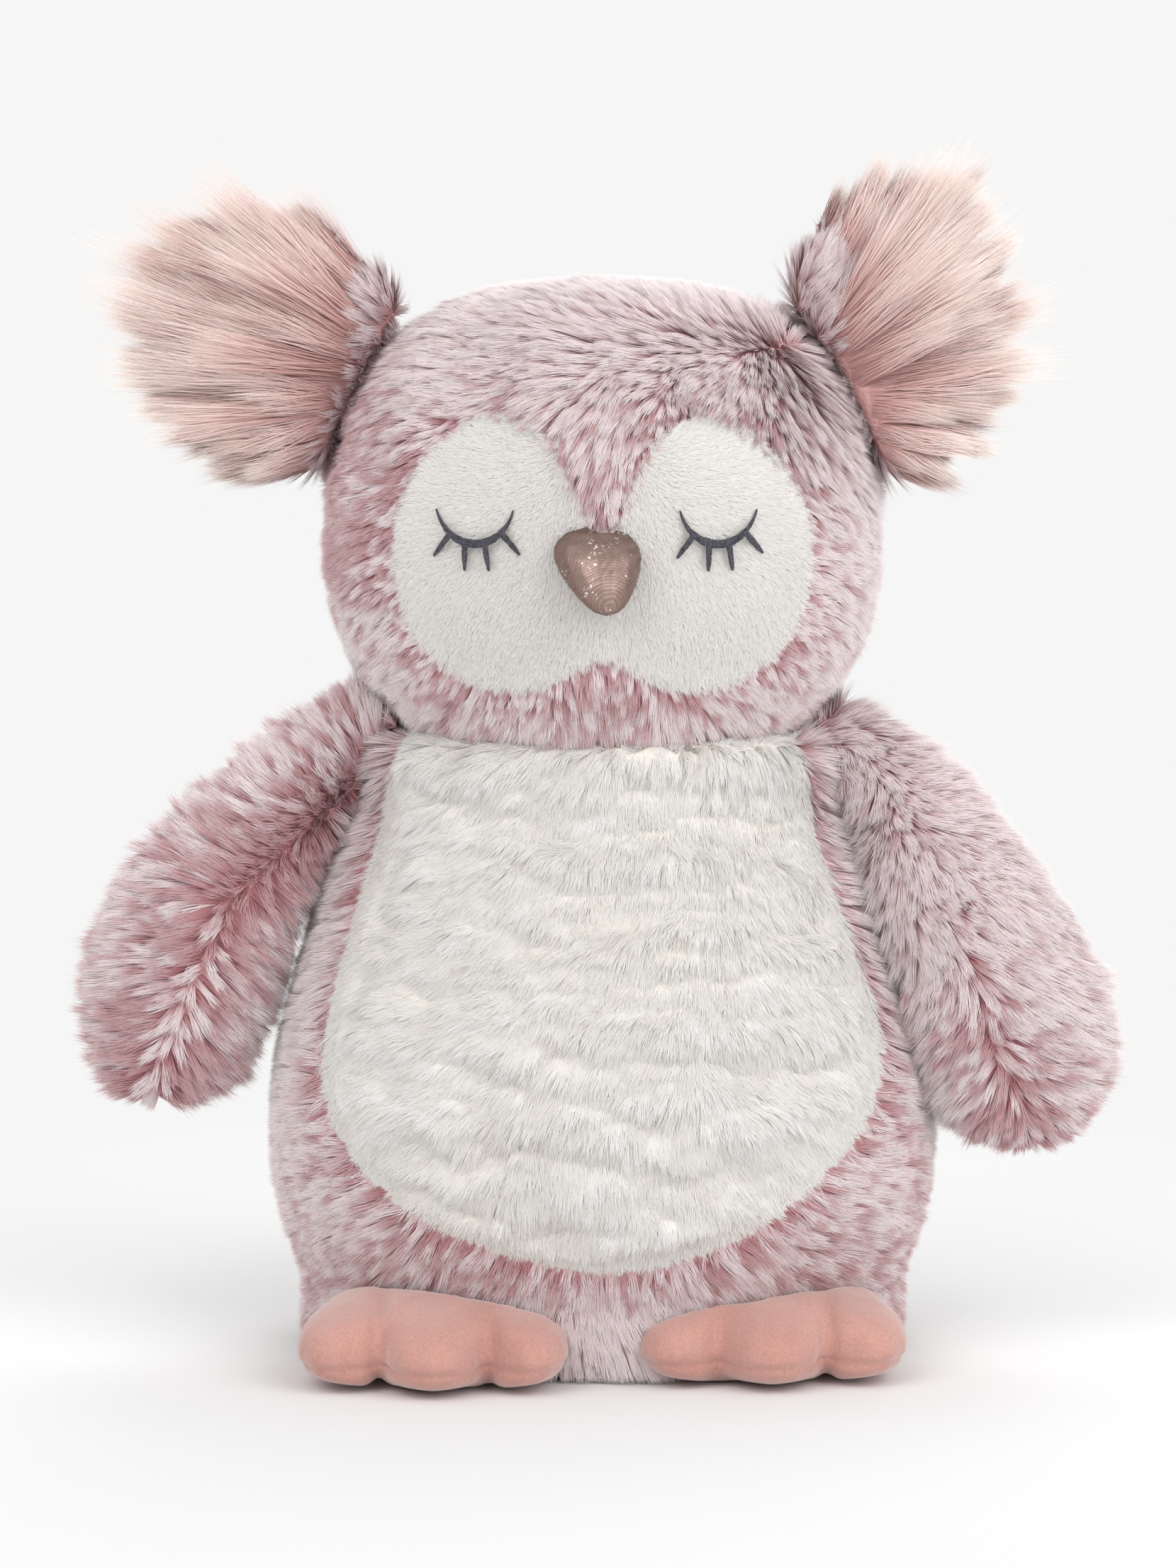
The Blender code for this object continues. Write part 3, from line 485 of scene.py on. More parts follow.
torsoNodes = ("torso_skin", "belly_panel", "base_panel", "torso_filling", "pellet_bag")
torsoLook = {"voxel": 2.0 * mm, "inset": 3.0 * mm, "roseLength": 8.6 * mm, "bellyLength": 6 * mm,
             "waveScales": (34, 34, 105), "waveHeight": 2.4 * mm}
torsoStrokes = ((-66, 120, -0.8, -0.7), (-72, 90, -1, -0.2), (-76, 55, -1, -0.1), (-66, 28, -0.8, -0.5),
                (-30, 14, -0.5, -0.8), (0, 12, 0.15, -1), (30, 16, 0.7, -0.6), (66, 28, 0.9, -0.4),
                (76, 55, 1, -0.2), (72, 90, 1, -0.4), (66, 120, 0.8, -0.7), (0, 140, 0, -1))
bellyStrokes = ((-40, 130, -0.5, -0.8), (0, 130, -0.2, -1), (40, 130, 0.0, -1), (-50, 85, -0.7, -0.7),
                (0, 85, -0.4, -0.9), (48, 85, 0.25, -0.95), (-50, 50, -0.6, -0.8), (0, 45, 0, -1), (50, 50, 0.5, -0.8),
                (0, 28, 0, -1))

torsoForm = stuffedForm("torsoCloth", torsoNodes, torsoLook["voxel"], 12, torsoLook["inset"],
                        lambda points: ease(4 * mm, 22 * mm, points[:, 2]) * (1 - ease(128 * mm, 138 * mm, points[:, 2])))
points, normals = pointsOf(torsoForm.data), normalsOf(torsoForm.data)
rosePlace = distancesTo(nodeTree(["torso_skin", "base_panel"]), points)
bellyShare = rosePlace - distancesTo(nodeTree(["belly_panel"]), points)
onBelly = bellyShare > 0
rise = waves(points, torsoLook["waveScales"], 1) * torsoLook["waveHeight"] * ease(0, 4 * mm, bellyShare)
setPoints(torsoForm.data, points + normals * rise[:, None])
points, normals = pointsOf(torsoForm.data), normalsOf(torsoForm.data)
nap = np.where(onBelly[:, None], combed(points, normals, bellyStrokes), combed(points, normals, torsoStrokes))
paint(torsoForm.data, "nap", nap)
atEdge = 0.55 + 0.45 * ease(0, 8 * mm, bellyShare)
paint(torsoForm.data, "pileLength", np.where(onBelly, torsoLook["bellyLength"] * atEdge, torsoLook["roseLength"]))
besideBelly = np.exp(-np.maximum(-bellyShare, 0) / (5 * mm)) * 0.3
lowDown = (0.1 + 0.35 * ease(14 * mm, 40 * mm, np.abs(points[:, 0]))) * (1 - ease(14 * mm, 42 * mm, points[:, 2]))
# Painted shade: the belly's clumps turn darker beige in the troughs of its waves
creaseShade = 0.45 - 0.5 * rise / torsoLook["waveHeight"]
besideWings = distancesTo(nodeTree(["left_wing_skin", "right_wing_skin"]), points)
# Painted light: the pile turns paler close to the wings, against their shadow
underWingLight = 0.45 * ease(16 * mm, 6 * mm, besideWings)
lowMiddle = 0.7 * np.exp(-((points[:, 0] / (12 * mm)) ** 2)) * ease(30 * mm, 15 * mm, points[:, 2])
# Painted shade: more dark clumps along the toy's left side
leftSideShade = 0.4 * ease(58 * mm, 72 * mm, points[:, 0])
# Painted light: fewer dark clumps on a strip of the toy's right side beside the wing, against its shadow
rightStripLight = 0.35 * ease(-48 * mm, -62 * mm, points[:, 0]) * ease(44 * mm, 66 * mm, points[:, 2])
rose = 0.15 + leftSideShade + besideBelly + lowDown - underWingLight - lowMiddle - rightStripLight
paint(torsoForm.data, "darkShare", np.where(onBelly, creaseShade, rose))

roseHair = {"Blade": shortBlade, "Density": 11e6, "Clump Density": 3.2e5, "Width": 0.29 * mm, "Rise": 0.38, "Sag": 0.0,
            "Reach": 0.85, "Curl": 0.0, "Pull": 0.5, "Swirl": 0.5, "Swirl Scale": 70.0, "Clump Scatter": 0.2,
            "Hair Scatter": 0.15, "Length Spread": 0.14, "Tone Contrast": 3.0, "Patch Scale": 60.0, "Patch Depth": 0.5}
bellyHair = {**roseHair, "Density": 15e6, "Clump Density": 2.6e5, "Width": 0.2 * mm, "Pull": 0.18, "Swirl": 0.4,
             "Swirl Scale": 75.0, "Clump Scatter": 0.1, "Hair Scatter": 0.25, "Length Spread": 0.1, "Rise": 0.22,
             "Tone Contrast": 0.8, "Patch Depth": 0.2, "Seed": 5}
paint(torsoForm.data, "lift", 0.7 * ease(14 * mm, 5 * mm, besideWings) * ease(92 * mm, 112 * mm, points[:, 2]))
span = np.minimum(points[:, 2] - 1.2 * mm, 146 * mm - points[:, 2])
torsoPieces = [torsoForm]
for name, part in (("torsoPileRight", -points[:, 0]), ("torsoPileLeft", points[:, 0])):
    for place, side in (("Front", -points[:, 1]), ("Back", points[:, 1])):
        grows = np.minimum(np.minimum(-bellyShare, np.minimum(part, side)), span)
        torsoPieces.append(growPile(name + place, torsoForm, grows, roseHair, rosePile))
for name, part in (("bellyPileRight", -points[:, 0]), ("bellyPileLeft", points[:, 0])):
    grows = np.minimum(np.minimum(bellyShare, part), span)
    torsoPieces.append(growPile(name, torsoForm, grows, bellyHair, ivoryPile))
torsoForm.data.materials.clear()
torsoForm.data.materials.append(roseBacking)
torsoForm.data.materials.append(ivoryBacking)
for face in torsoForm.data.polygons:
    face.material_index = 1 if onBelly[face.vertices[0]] else 0
wear(torsoPieces[:5], "torso")
wear(torsoPieces[5:], "torso")
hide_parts(*torsoNodes)
print("torso made", flush=True)


# Head

headNodes = ("head_skin", "face_panel", "head_filling")
headLook = {"voxel": 2.0 * mm, "inset": 2.8 * mm, "faceInset": 1.6 * mm, "roseLength": 8.2 * mm, "faceLength": 2.4 * mm}
headStrokes = ((-50, 236, -0.9, 0.1), (-60, 218, -0.9, -0.1), (-36, 234, -0.8, -0.6), (-20, 242, -0.9, -0.5),
               (5, 246, -0.9, -0.5), (26, 246, -0.9, -0.4), (46, 242, -0.9, -0.4), (60, 236, -0.9, -0.5),
               (30, 232, -0.8, -0.7), (46, 228, -0.6, -1.2), (60, 214, 0.4, -1.1), (-25, 222, -0.6, -0.8),
               (0, 220, -0.4, -0.9), (24, 220, -0.4, -1),
               (0, 205, -0.2, -1), (-60, 205, -0.8, -0.7), (-62, 185, -1, -0.4), (-56, 165, -0.8, -0.7),
               (-35, 152, -0.5, -0.8), (0, 150, 0.1, -1), (35, 152, 0.6, -0.7), (58, 165, 0.9, -0.5), (64, 190, 1, -0.1),
               (60, 207, 0.9, -0.6))
faceStrokes = ((-40, 215, -0.5, 0.4), (-30, 190, -0.6, -0.4), (-30, 165, -0.2, -0.9), (40, 215, 0.5, 0.4),
               (30, 190, 0.6, -0.4), (30, 165, 0.2, -0.9), (0, 180, 0, -1))
headForm = stuffedForm("headCloth", headNodes, headLook["voxel"], 12)
points, normals = pointsOf(headForm.data), normalsOf(headForm.data)
faceShare = distancesTo(nodeTree(["head_skin"]), points) - distancesTo(nodeTree(["face_panel"]), points)
onFace = faceShare > 0
depth = np.where(onFace, headLook["faceInset"], headLook["inset"]) * ease(142 * mm, 152 * mm, points[:, 2])
points = points - normals * depth[:, None]
setPoints(headForm.data, points)
normals = normalsOf(headForm.data)
nap = np.where(onFace[:, None], combed(points, normals, faceStrokes), combed(points, normals, headStrokes))
paint(headForm.data, "nap", nap)
byBeak = ease(0, 9 * mm, distancesTo(nodeTree(["beak_skin"]), points))
trimmed = (0.5 + 0.5 * ease(0, 8 * mm, -faceShare)) * (0.4 + 0.6 * byBeak)
besideEars = distancesTo(nodeTree(["left_ear_tuft", "right_ear_tuft", "left_ear_backing", "right_ear_backing"]), points)
byEars = ease(10 * mm, 3 * mm, besideEars)
roseLength = headLook["roseLength"] * trimmed * (1 + 0.35 * byEars)
paint(headForm.data, "pileLength", np.where(onFace, headLook["faceLength"], roseLength))
paint(headForm.data, "lift", 0.5 * byEars)
outwards = alongSurface(np.stack([np.sign(points[:, 0]), np.full(len(points), 0.8), np.full(len(points), 0.3)], 1), normals)
outwards *= (byEars * ease(-0.3, 0.3, (nap * outwards).sum(1)))[:, None]
paint(headForm.data, "nap", unit(nap + 1.6 * outwards))
besideFace = np.exp(-np.maximum(-faceShare, 0) / (5 * mm)) * 0.3
# Painted shade: more dark clumps over the toy's right side of the head
shadedRightSide = 0.75 * ease(-35 * mm, -58 * mm, points[:, 0]) * ease(165 * mm, 190 * mm, points[:, 2])
forehead = 0.25 * np.exp(-((points[:, 0] / (9 * mm)) ** 2)) * ease(232 * mm, 205 * mm, points[:, 2])
# Painted light: fewer dark clumps on the toy's left side of the head, against the ear's shadow
leftSideLight = 0.2 * ease(44 * mm, 58 * mm, points[:, 0])
chin = 0.05 * ease(170 * mm, 158 * mm, points[:, 2])
crown = 0.16 - 0.18 * ease(216 * mm, 236 * mm, points[:, 2])
paint(headForm.data, "darkShare", np.where(onFace, 0.4, crown + besideFace + shadedRightSide + forehead + chin - leftSideLight))
span = points[:, 2] - 142 * mm
headPieces = [headForm]
for name, part in (("headPileFront", -points[:, 1]), ("headPileBack", points[:, 1])):
    for place, side in (("Right", -points[:, 0]), ("Left", points[:, 0])):
        grows = np.minimum(np.minimum(-faceShare, np.minimum(part, side)), span)
        headPieces.append(growPile(name + place, headForm, grows, {**roseHair, "Seed": 21}, rosePile))
faceHair = {**roseHair, "Density": 26e6, "Clump Density": 12e5, "Width": 0.19 * mm, "Rise": 0.45,
            "Reach": 0.6, "Pull": 0.15, "Swirl": 0.25, "Swirl Scale": 60.0, "Clump Scatter": 0.12,
            "Hair Scatter": 0.3, "Tone Contrast": 0.4, "Patch Scale": 90.0, "Patch Depth": 0.3, "Seed": 31}
headPieces.append(growPile("facePile", headForm, faceShare + 0.4 * mm, faceHair, ivoryPile))
headForm.data.materials.clear()
headForm.data.materials.append(roseBacking)
headForm.data.materials.append(ivoryBacking)
for face in headForm.data.polygons:
    face.material_index = 1 if onFace[face.vertices[0]] else 0
wear(headPieces[:5], "head")
wear(headPieces[5:], "head")
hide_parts(*headNodes)
print("head made", flush=True)


# Wings

wingLooks = {
    "right": {"sign": -1, "parting": ((-53, 132), (-86, 105), (-102, 68), (-106, 50)), "across": 1.0, "along": 0.45,
              "darkness": 0.6, "spread": 9 * mm, "paleLine": 1.2, "fade": (170, 160), "fall": (-0.4, -0.9), "base": 0.3,
              "seed": 41},
    "left": {"sign": 1, "parting": ((60, 120), (76, 108), (87, 84), (98, 50)), "across": 0.7, "along": 0.7,
             "darkness": 0.5, "spread": 8 * mm, "paleLine": 0.0, "fade": (104, 78), "fall": (0.6, -0.8), "base": 0.07,
             "seed": 51},
}


def partedNap(points, normals, look):
    line = np.array(look["parting"], float) * mm
    places = points[:, [0, 2]]
    best = np.full(len(points), 1e9)
    side = np.zeros((len(points), 2))
    onward = np.zeros((len(points), 2))
    for start, end in zip(line[:-1], line[1:]):
        run = end - start
        share = np.clip(((places - start) @ run) / (run @ run), 0, 1)
        offset = places - (start + share[:, None] * run)
        distance = np.linalg.norm(offset, axis=1)
        nearer = distance < best
        best = np.where(nearer, distance, best)
        side = np.where(nearer[:, None], offset, side)
        onward = np.where(nearer[:, None], run / np.linalg.norm(run), onward)
    apart = side / np.maximum(best, 2 * mm)[:, None] * look["across"] + onward * look["along"]
    parted = ease(look["fade"][0] * mm, look["fade"][1] * mm, points[:, 2])[:, None]
    apart = apart * parted + np.array(look["fall"]) * (1 - parted)
    nap = np.stack([apart[:, 0], np.full(len(points), 0.55), apart[:, 1]], 1)
    nap = nap - normals * (nap * normals).sum(1, keepdims=True)
    return nap, best, parted[:, 0]


for sideName, look in wingLooks.items():
    wingNodes = (sideName + "_wing_skin", sideName + "_wing_filling")
    wingForm = stuffedForm(sideName + "WingCloth", wingNodes, 1.8 * mm, 8, 3.0 * mm)
    points, normals = pointsOf(wingForm.data), normalsOf(wingForm.data)
    nap, fromParting, parted = partedNap(points, normals, look)
    paint(wingForm.data, "nap", nap)
    paint(wingForm.data, "pileLength", 8.6 * mm * (0.65 + 0.35 * ease(46 * mm, 66 * mm, points[:, 2])))
    paleLine = look["paleLine"] * np.exp(-(fromParting / (1.3 * mm)) ** 2) * ease(105 * mm, 85 * mm, points[:, 2])
    dark = look["darkness"] * np.exp(-(fromParting / look["spread"]) ** 2) * parted
    dark += look["base"] + 0.18 * ease(100 * mm, 60 * mm, points[:, 2])
    paint(wingForm.data, "darkShare", dark - paleLine)
    apart = distancesTo(nodeTree(["torso_skin", "torso_filling", "head_skin"]), points)
    paint(wingForm.data, "lift", 0.5 * ease(14 * mm, 5 * mm, apart))
    seen = apart - 1.5 * mm
    wingPile = growPile(sideName + "WingPile", wingForm, seen, {**roseHair, "Seed": look["seed"]}, rosePile)
    wingForm.data.materials.clear()
    wingForm.data.materials.append(roseBacking)
    start = Vector((look["sign"] * 48 * mm, 0, 142 * mm))
    for piece in (wingForm, wingPile):
        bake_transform(piece)
    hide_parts(*wingNodes)
print("wings made", flush=True)


# Ears: long straight hair in a fan, from a small leaf of cloth

earLooks = {
    "right": {"sign": -1, "seat": (-56, 226), "lean": 24, "length": 61, "turn": -11, "halfFan": 24, "seed": 61,
              "overhang": -5, "plush": 1.3, "dark": 0.5,
              "locks": ((0.80, 0.98, 0.88), (0.42, 0.62, 1), (0, 0.15, 0.97), (-0.42, -0.44, 0.84), (-0.80, -1, 0.64))},
    "left": {"sign": 1, "seat": (54, 227), "lean": 26, "length": 55, "turn": 0, "halfFan": 40, "seed": 71,
             "overhang": -9, "plush": 0.55, "dark": 0.05,
             "locks": ((0.78, 0.92, 0.74), (0.40, 0.55, 1), (0, 0.12, 0.94), (-0.42, -0.42, 0.72), (-0.80, -0.96, 0.50))},
}
earHair = {"seamHalf": 19 * mm, "longest": 40 * mm, "leafShare": 0.62}


def fanOf(points, look):
    lean = math.radians(look["lean"])
    seam = np.array([-look["sign"] * math.sin(lean), math.cos(lean)])
    out = np.array([look["sign"] * math.cos(lean), math.sin(lean)])
    seat = np.array(look["seat"]) * mm
    locks = np.array(sorted(look["locks"]))
    shares = np.linspace(-1.15, 1.15, 70)
    swings = np.radians(look["turn"] + look["halfFan"] * np.interp(shares, locks[:, 0], locks[:, 1]))
    reaches = np.interp(shares, locks[:, 0], locks[:, 2]) * look["length"] * mm
    places = points[:, [0, 2]] - seat
    best = np.full(len(points), 1e9)
    found = np.zeros((len(points), 5))
    for share, swing, reach in zip(shares, swings, reaches):
        ray = out * math.cos(swing) + seam * math.sin(swing)
        offset = places - seam * share * earHair["seamHalf"]
        run = offset @ ray
        miss = np.linalg.norm(offset - run[:, None] * ray, axis=1) + np.maximum(-run, 0)
        nearer = miss < best
        best = np.where(nearer, miss, best)
        found[nearer] = np.stack([run, run * 0 + reach, run * 0 + ray[0], run * 0 + ray[1], run * 0 + share], 1)[nearer]
    return found


for sideName, look in earLooks.items():
    earNodes = (sideName + "_ear_tuft", sideName + "_ear_backing")
    earForm = stuffedForm(sideName + "EarCloth", earNodes, 1.6 * mm, 6, 4.5 * mm,
                          lambda points: ease(2 * mm, 12 * mm, fanOf(points, look)[:, 0]))
    points, normals = pointsOf(earForm.data), normalsOf(earForm.data)
    found = fanOf(points, look)
    run, reach, share = found[:, 0], found[:, 1], found[:, 4]
    # The cloth stops well short of the tips, which are hair alone
    leaf = earHair["leafShare"] * reach * (1 - 0.45 * ease(0.45, 1.0, np.abs(share)))
    kept = np.where(run > 0, np.minimum(run, leaf) + 0.12 * np.maximum(run - 0.5 * reach, 0), run)
    shift = (np.minimum(kept, run) - run)
    narrowed = 1 - 0.35 * ease(0.2, 0.8, run / reach)
    points[:, 0] += shift * found[:, 2]
    points[:, 2] += shift * found[:, 3]
    points[:, 1] *= narrowed
    setPoints(earForm.data, points)
    points, normals = pointsOf(earForm.data), normalsOf(earForm.data)
    found = fanOf(points, look)
    run, reach, share = found[:, 0], found[:, 1], found[:, 4]
    ray = np.stack([found[:, 2], 0.15 * points[:, 1] / (10 * mm), found[:, 3]], 1)
    ray[:, 1] += 0.8 * normals[:, 1] * ease(8 * mm, -2 * mm, run)
    paint(earForm.data, "nap", unit(ray))
    rim = 1 - 0.3 * ease(0.45, 1.0, np.abs(share))
    lengths = np.clip(reach * rim + look["overhang"] * mm - run, 15 * mm, earHair["longest"])
    paint(earForm.data, "pileLength", lengths * (1 - 0.5 * ease(5 * mm, -5 * mm, run)))
    paint(earForm.data, "darkShare", np.full(len(points), look["dark"]))
    paint(earForm.data, "lift", np.zeros(len(points)))
    settings = {"Blade": longBlade, "Density": 13e6, "Clump Density": 6.5e4, "Width": 0.2 * mm, "Flatten": 0.0, "Rise": 0.1,
                "Sag": 0.06, "Reach": 0.85, "Curl": 0.05, "Pull": 0.78, "Swirl": 0.16, "Swirl Scale": 40.0,
                "Clump Scatter": 0.14, "Hair Scatter": 0.14, "Length Spread": 0.36, "Tone Contrast": 1.0,
                "Seed": look["seed"]}
    # The back, and one edge near the seam, are of the body's plush
    plush = np.maximum(normals[:, 1] - 0.55, np.minimum(share - look["plush"], (13 * mm - run) / (10 * mm)))
    plush = np.maximum(plush, (1 + 5.5 * ease(0.2, 1, share)) * mm - run)
    clear = run + 12 * mm
    earPile = growPile(sideName + "EarPile", earForm, np.minimum(clear, -plush), settings, longPile)
    paint(earForm.data, "pileLength", (5.5 + 2.5 * ease(9 * mm, 4 * mm, run)) * mm)
    paint(earForm.data, "darkShare", np.full(len(points), 0.04))
    backHair = {**roseHair, "Seed": look["seed"] + 1}
    earBack = growPile(sideName + "EarBack", earForm, np.minimum(clear, plush), backHair, rosePile)
    earForm.data.materials.clear()
    earForm.data.materials.append(earBacking)
    wear((earForm, earBack), sideName + "_ear")
    wear((earPile,), sideName + "_ear")
    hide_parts(*earNodes)
print("ears made", flush=True)


# Feet

velour, tree, shader = newMaterial("salmonVelour", 0.8, 0.6, 0.2)
places = addNode(tree, "ShaderNodeTexCoord").outputs["Object"]
brushed = addNode(tree, "ShaderNodeTexNoise", {"Vector": places, "Scale": 55.0, "Detail": 3.0}).outputs[0]
grain = addNode(tree, "ShaderNodeTexNoise", {"Vector": places, "Scale": 1500.0, "Detail": 2.0}).outputs[0]
base = ramp(tree, brushed, ((0.3, rgb(180, 129, 118)), (0.7, rgb(196, 147, 136))))
tree.links.new(mixColour(tree, 0.22, base, ramp(tree, grain, ((0.3, rgb(158, 106, 96)), (0.7, rgb(210, 166, 156))))),
               shader.inputs["Base Color"])
bump = addNode(tree, "ShaderNodeBump", {"Strength": 0.35, "Distance": 0.0003, "Height": grain})
tree.links.new(bump.outputs[0], shader.inputs["Normal"])

footLook = {"voxel": 1.0 * mm, "rounds": 9, "seamHeight": 6 * mm, "seamDepth": 0.9 * mm, "seamWidth": 0.9 * mm,
            "middle": 38 * mm, "toeHalf": 12.3 * mm, "toeGroove": 2.0 * mm, "toeWidth": 2.0 * mm}
for sideName, side in (("right", -1), ("left", 1)):
    footNodes = (sideName + "_foot_upper", sideName + "_foot_sole", sideName + "_foot_filling")
    foot = stuffedForm(sideName + "Foot", footNodes, footLook["voxel"], footLook["rounds"])
    points, normals = pointsOf(foot.data), normalsOf(foot.data)
    groove = np.exp(-((points[:, 2] - footLook["seamHeight"]) / footLook["seamWidth"]) ** 2)
    groove *= ease(-20 * mm, -45 * mm, points[:, 1])
    outward = side * points[:, 0] - footLook["middle"]
    between = np.exp(-((np.abs(outward) - footLook["toeHalf"]) / footLook["toeWidth"]) ** 2)
    between *= np.where(outward > 0, ease(-38 * mm, -58 * mm, points[:, 1]), ease(-52 * mm, -66 * mm, points[:, 1]))
    setPoints(foot.data, points - normals * (groove * footLook["seamDepth"] + between * footLook["toeGroove"])[:, None])
    foot.data.materials.clear()
    foot.data.materials.append(velour)
    wear((foot,), "torso")
    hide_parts(*footNodes)
print("feet made", flush=True)


# Beak: a small cone of ribbed foil knit

foil, tree, shader = newMaterial("ribbedFoilKnit", 0.42, 0.0, 0.5)
places = addNode(tree, "ShaderNodeTexCoord").outputs["Object"]
# Painted glints: pale flecks mixed into the base colour, only within some patches
glintFlecks = addNode(tree, "ShaderNodeTexVoronoi", {"Vector": places, "Scale": 2600.0})
glint = ramp(tree, addNode(tree, "ShaderNodeSeparateColor", {0: glintFlecks.outputs["Color"]}).outputs[0],
             ((0.86, (0, 0, 0, 1)), (0.96, (1, 1, 1, 1))))
rubbed = addNode(tree, "ShaderNodeTexNoise", {"Vector": places, "Scale": 130.0, "Detail": 3.0}).outputs[0]
base = ramp(tree, rubbed, ((0.3, rgb(134, 111, 103)), (0.7, rgb(168, 144, 135))))
beakLook = {"voxel": 0.4 * mm, "rounds": 6, "pitch": 0.62 * mm, "depth": 0.12 * mm,
            "tip": (4.5 * mm, -76 * mm, 170 * mm), "tipShift": 2.2 * mm, "tipDrop": 1.5 * mm, "tipNarrow": 0.22}
tipwards = vecCalc(tree, "LENGTH", vecCalc(tree, "SUBTRACT", places, beakLook["tip"]))
ribShade = calc(tree, "COSINE", calc(tree, "MULTIPLY", tipwards, 2 * math.pi / beakLook["pitch"]))
ribShade = calc(tree, "MULTIPLY_ADD", ribShade, -0.22, 0.22)
base = mixColour(tree, ribShade, base, rgb(96, 72, 66))
glintPatches = ramp(tree, addNode(tree, "ShaderNodeTexNoise", {"Vector": places, "Scale": 210.0}).outputs[0],
              ((0.54, (0, 0, 0, 1)), (0.6, (1, 1, 1, 1))))
tree.links.new(mixColour(tree, calc(tree, "MULTIPLY", glint, glintPatches), base, rgb(240, 228, 220)), shader.inputs["Base Color"])
tree.links.new(ramp(tree, rubbed, ((0.3, (0.55, 0.55, 0.55, 1)), (0.7, (0.8, 0.8, 0.8, 1)))), shader.inputs["Metallic"])

beak = stuffedForm("beak", ("beak_skin", "beak_filling"), beakLook["voxel"], beakLook["rounds"])
points = pointsOf(beak.data)
lower = ease(190 * mm, 172 * mm, points[:, 2])
points[:, 0] += lower * (beakLook["tipShift"] - beakLook["tipNarrow"] * points[:, 0])
points[:, 2] -= lower * beakLook["tipDrop"]
setPoints(beak.data, points)
normals = normalsOf(beak.data)
fromTip = np.linalg.norm(points - np.array(beakLook["tip"]), axis=1)
ribs = np.cos(fromTip / beakLook["pitch"] * 2 * math.pi) * beakLook["depth"]
setPoints(beak.data, points + normals * ribs[:, None])
beak.data.materials.clear()
beak.data.materials.append(foil)
wear((beak,), "head")
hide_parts("beak_skin", "beak_filling")
print("beak made", flush=True)


# Eyes: satin stitches along a lid and four lashes on each side

darkThread, tree, shader = newMaterial("darkThread", 0.5, 0.2, 0.4)
places = addNode(tree, "ShaderNodeTexCoord").outputs["Object"]
# Paler specks in the dark thread: fibre tone and painted sheen
strandsAndSheen = addNode(tree, "ShaderNodeTexNoise", {"Vector": places, "Scale": 2500.0, "Detail": 1.0}).outputs[0]
tree.links.new(ramp(tree, strandsAndSheen, ((0.35, rgb(34, 32, 40)), (0.7, rgb(78, 76, 88)))), shader.inputs["Base Color"])


def threadMesh():
    corners, faces = [], []
    rings = ((-0.5, 0.0), (-0.44, 0.6), (-0.25, 0.95), (0.0, 1.0), (0.25, 0.95), (0.44, 0.6), (0.5, 0.0))
    sides = 6
    for place, girth in rings[1:-1]:
        for side in range(sides):
            turn = 2 * math.pi * side / sides
            corners.append((place, 0.5 * girth * math.cos(turn), 0.5 * girth * math.sin(turn)))
    for row in range(len(rings) - 3):
        for side in range(sides):
            here, on = row * sides + side, row * sides + (side + 1) % sides
            faces.append((here, on, on + sides, here + sides))
    last = len(corners) - sides
    faces.append(tuple(reversed(range(sides))))
    faces.append(tuple(range(last, last + sides)))
    mesh = bpy.data.meshes.new("thread")
    mesh.from_pydata(corners, [], faces)
    fixing = bmesh.new()
    fixing.from_mesh(mesh)
    bmesh.ops.recalc_face_normals(fixing, faces=fixing.faces)
    fixing.to_mesh(mesh)
    fixing.free()
    mesh.shade_smooth()
    made = linked("thread", mesh)
    made.hide_render = True
    return made


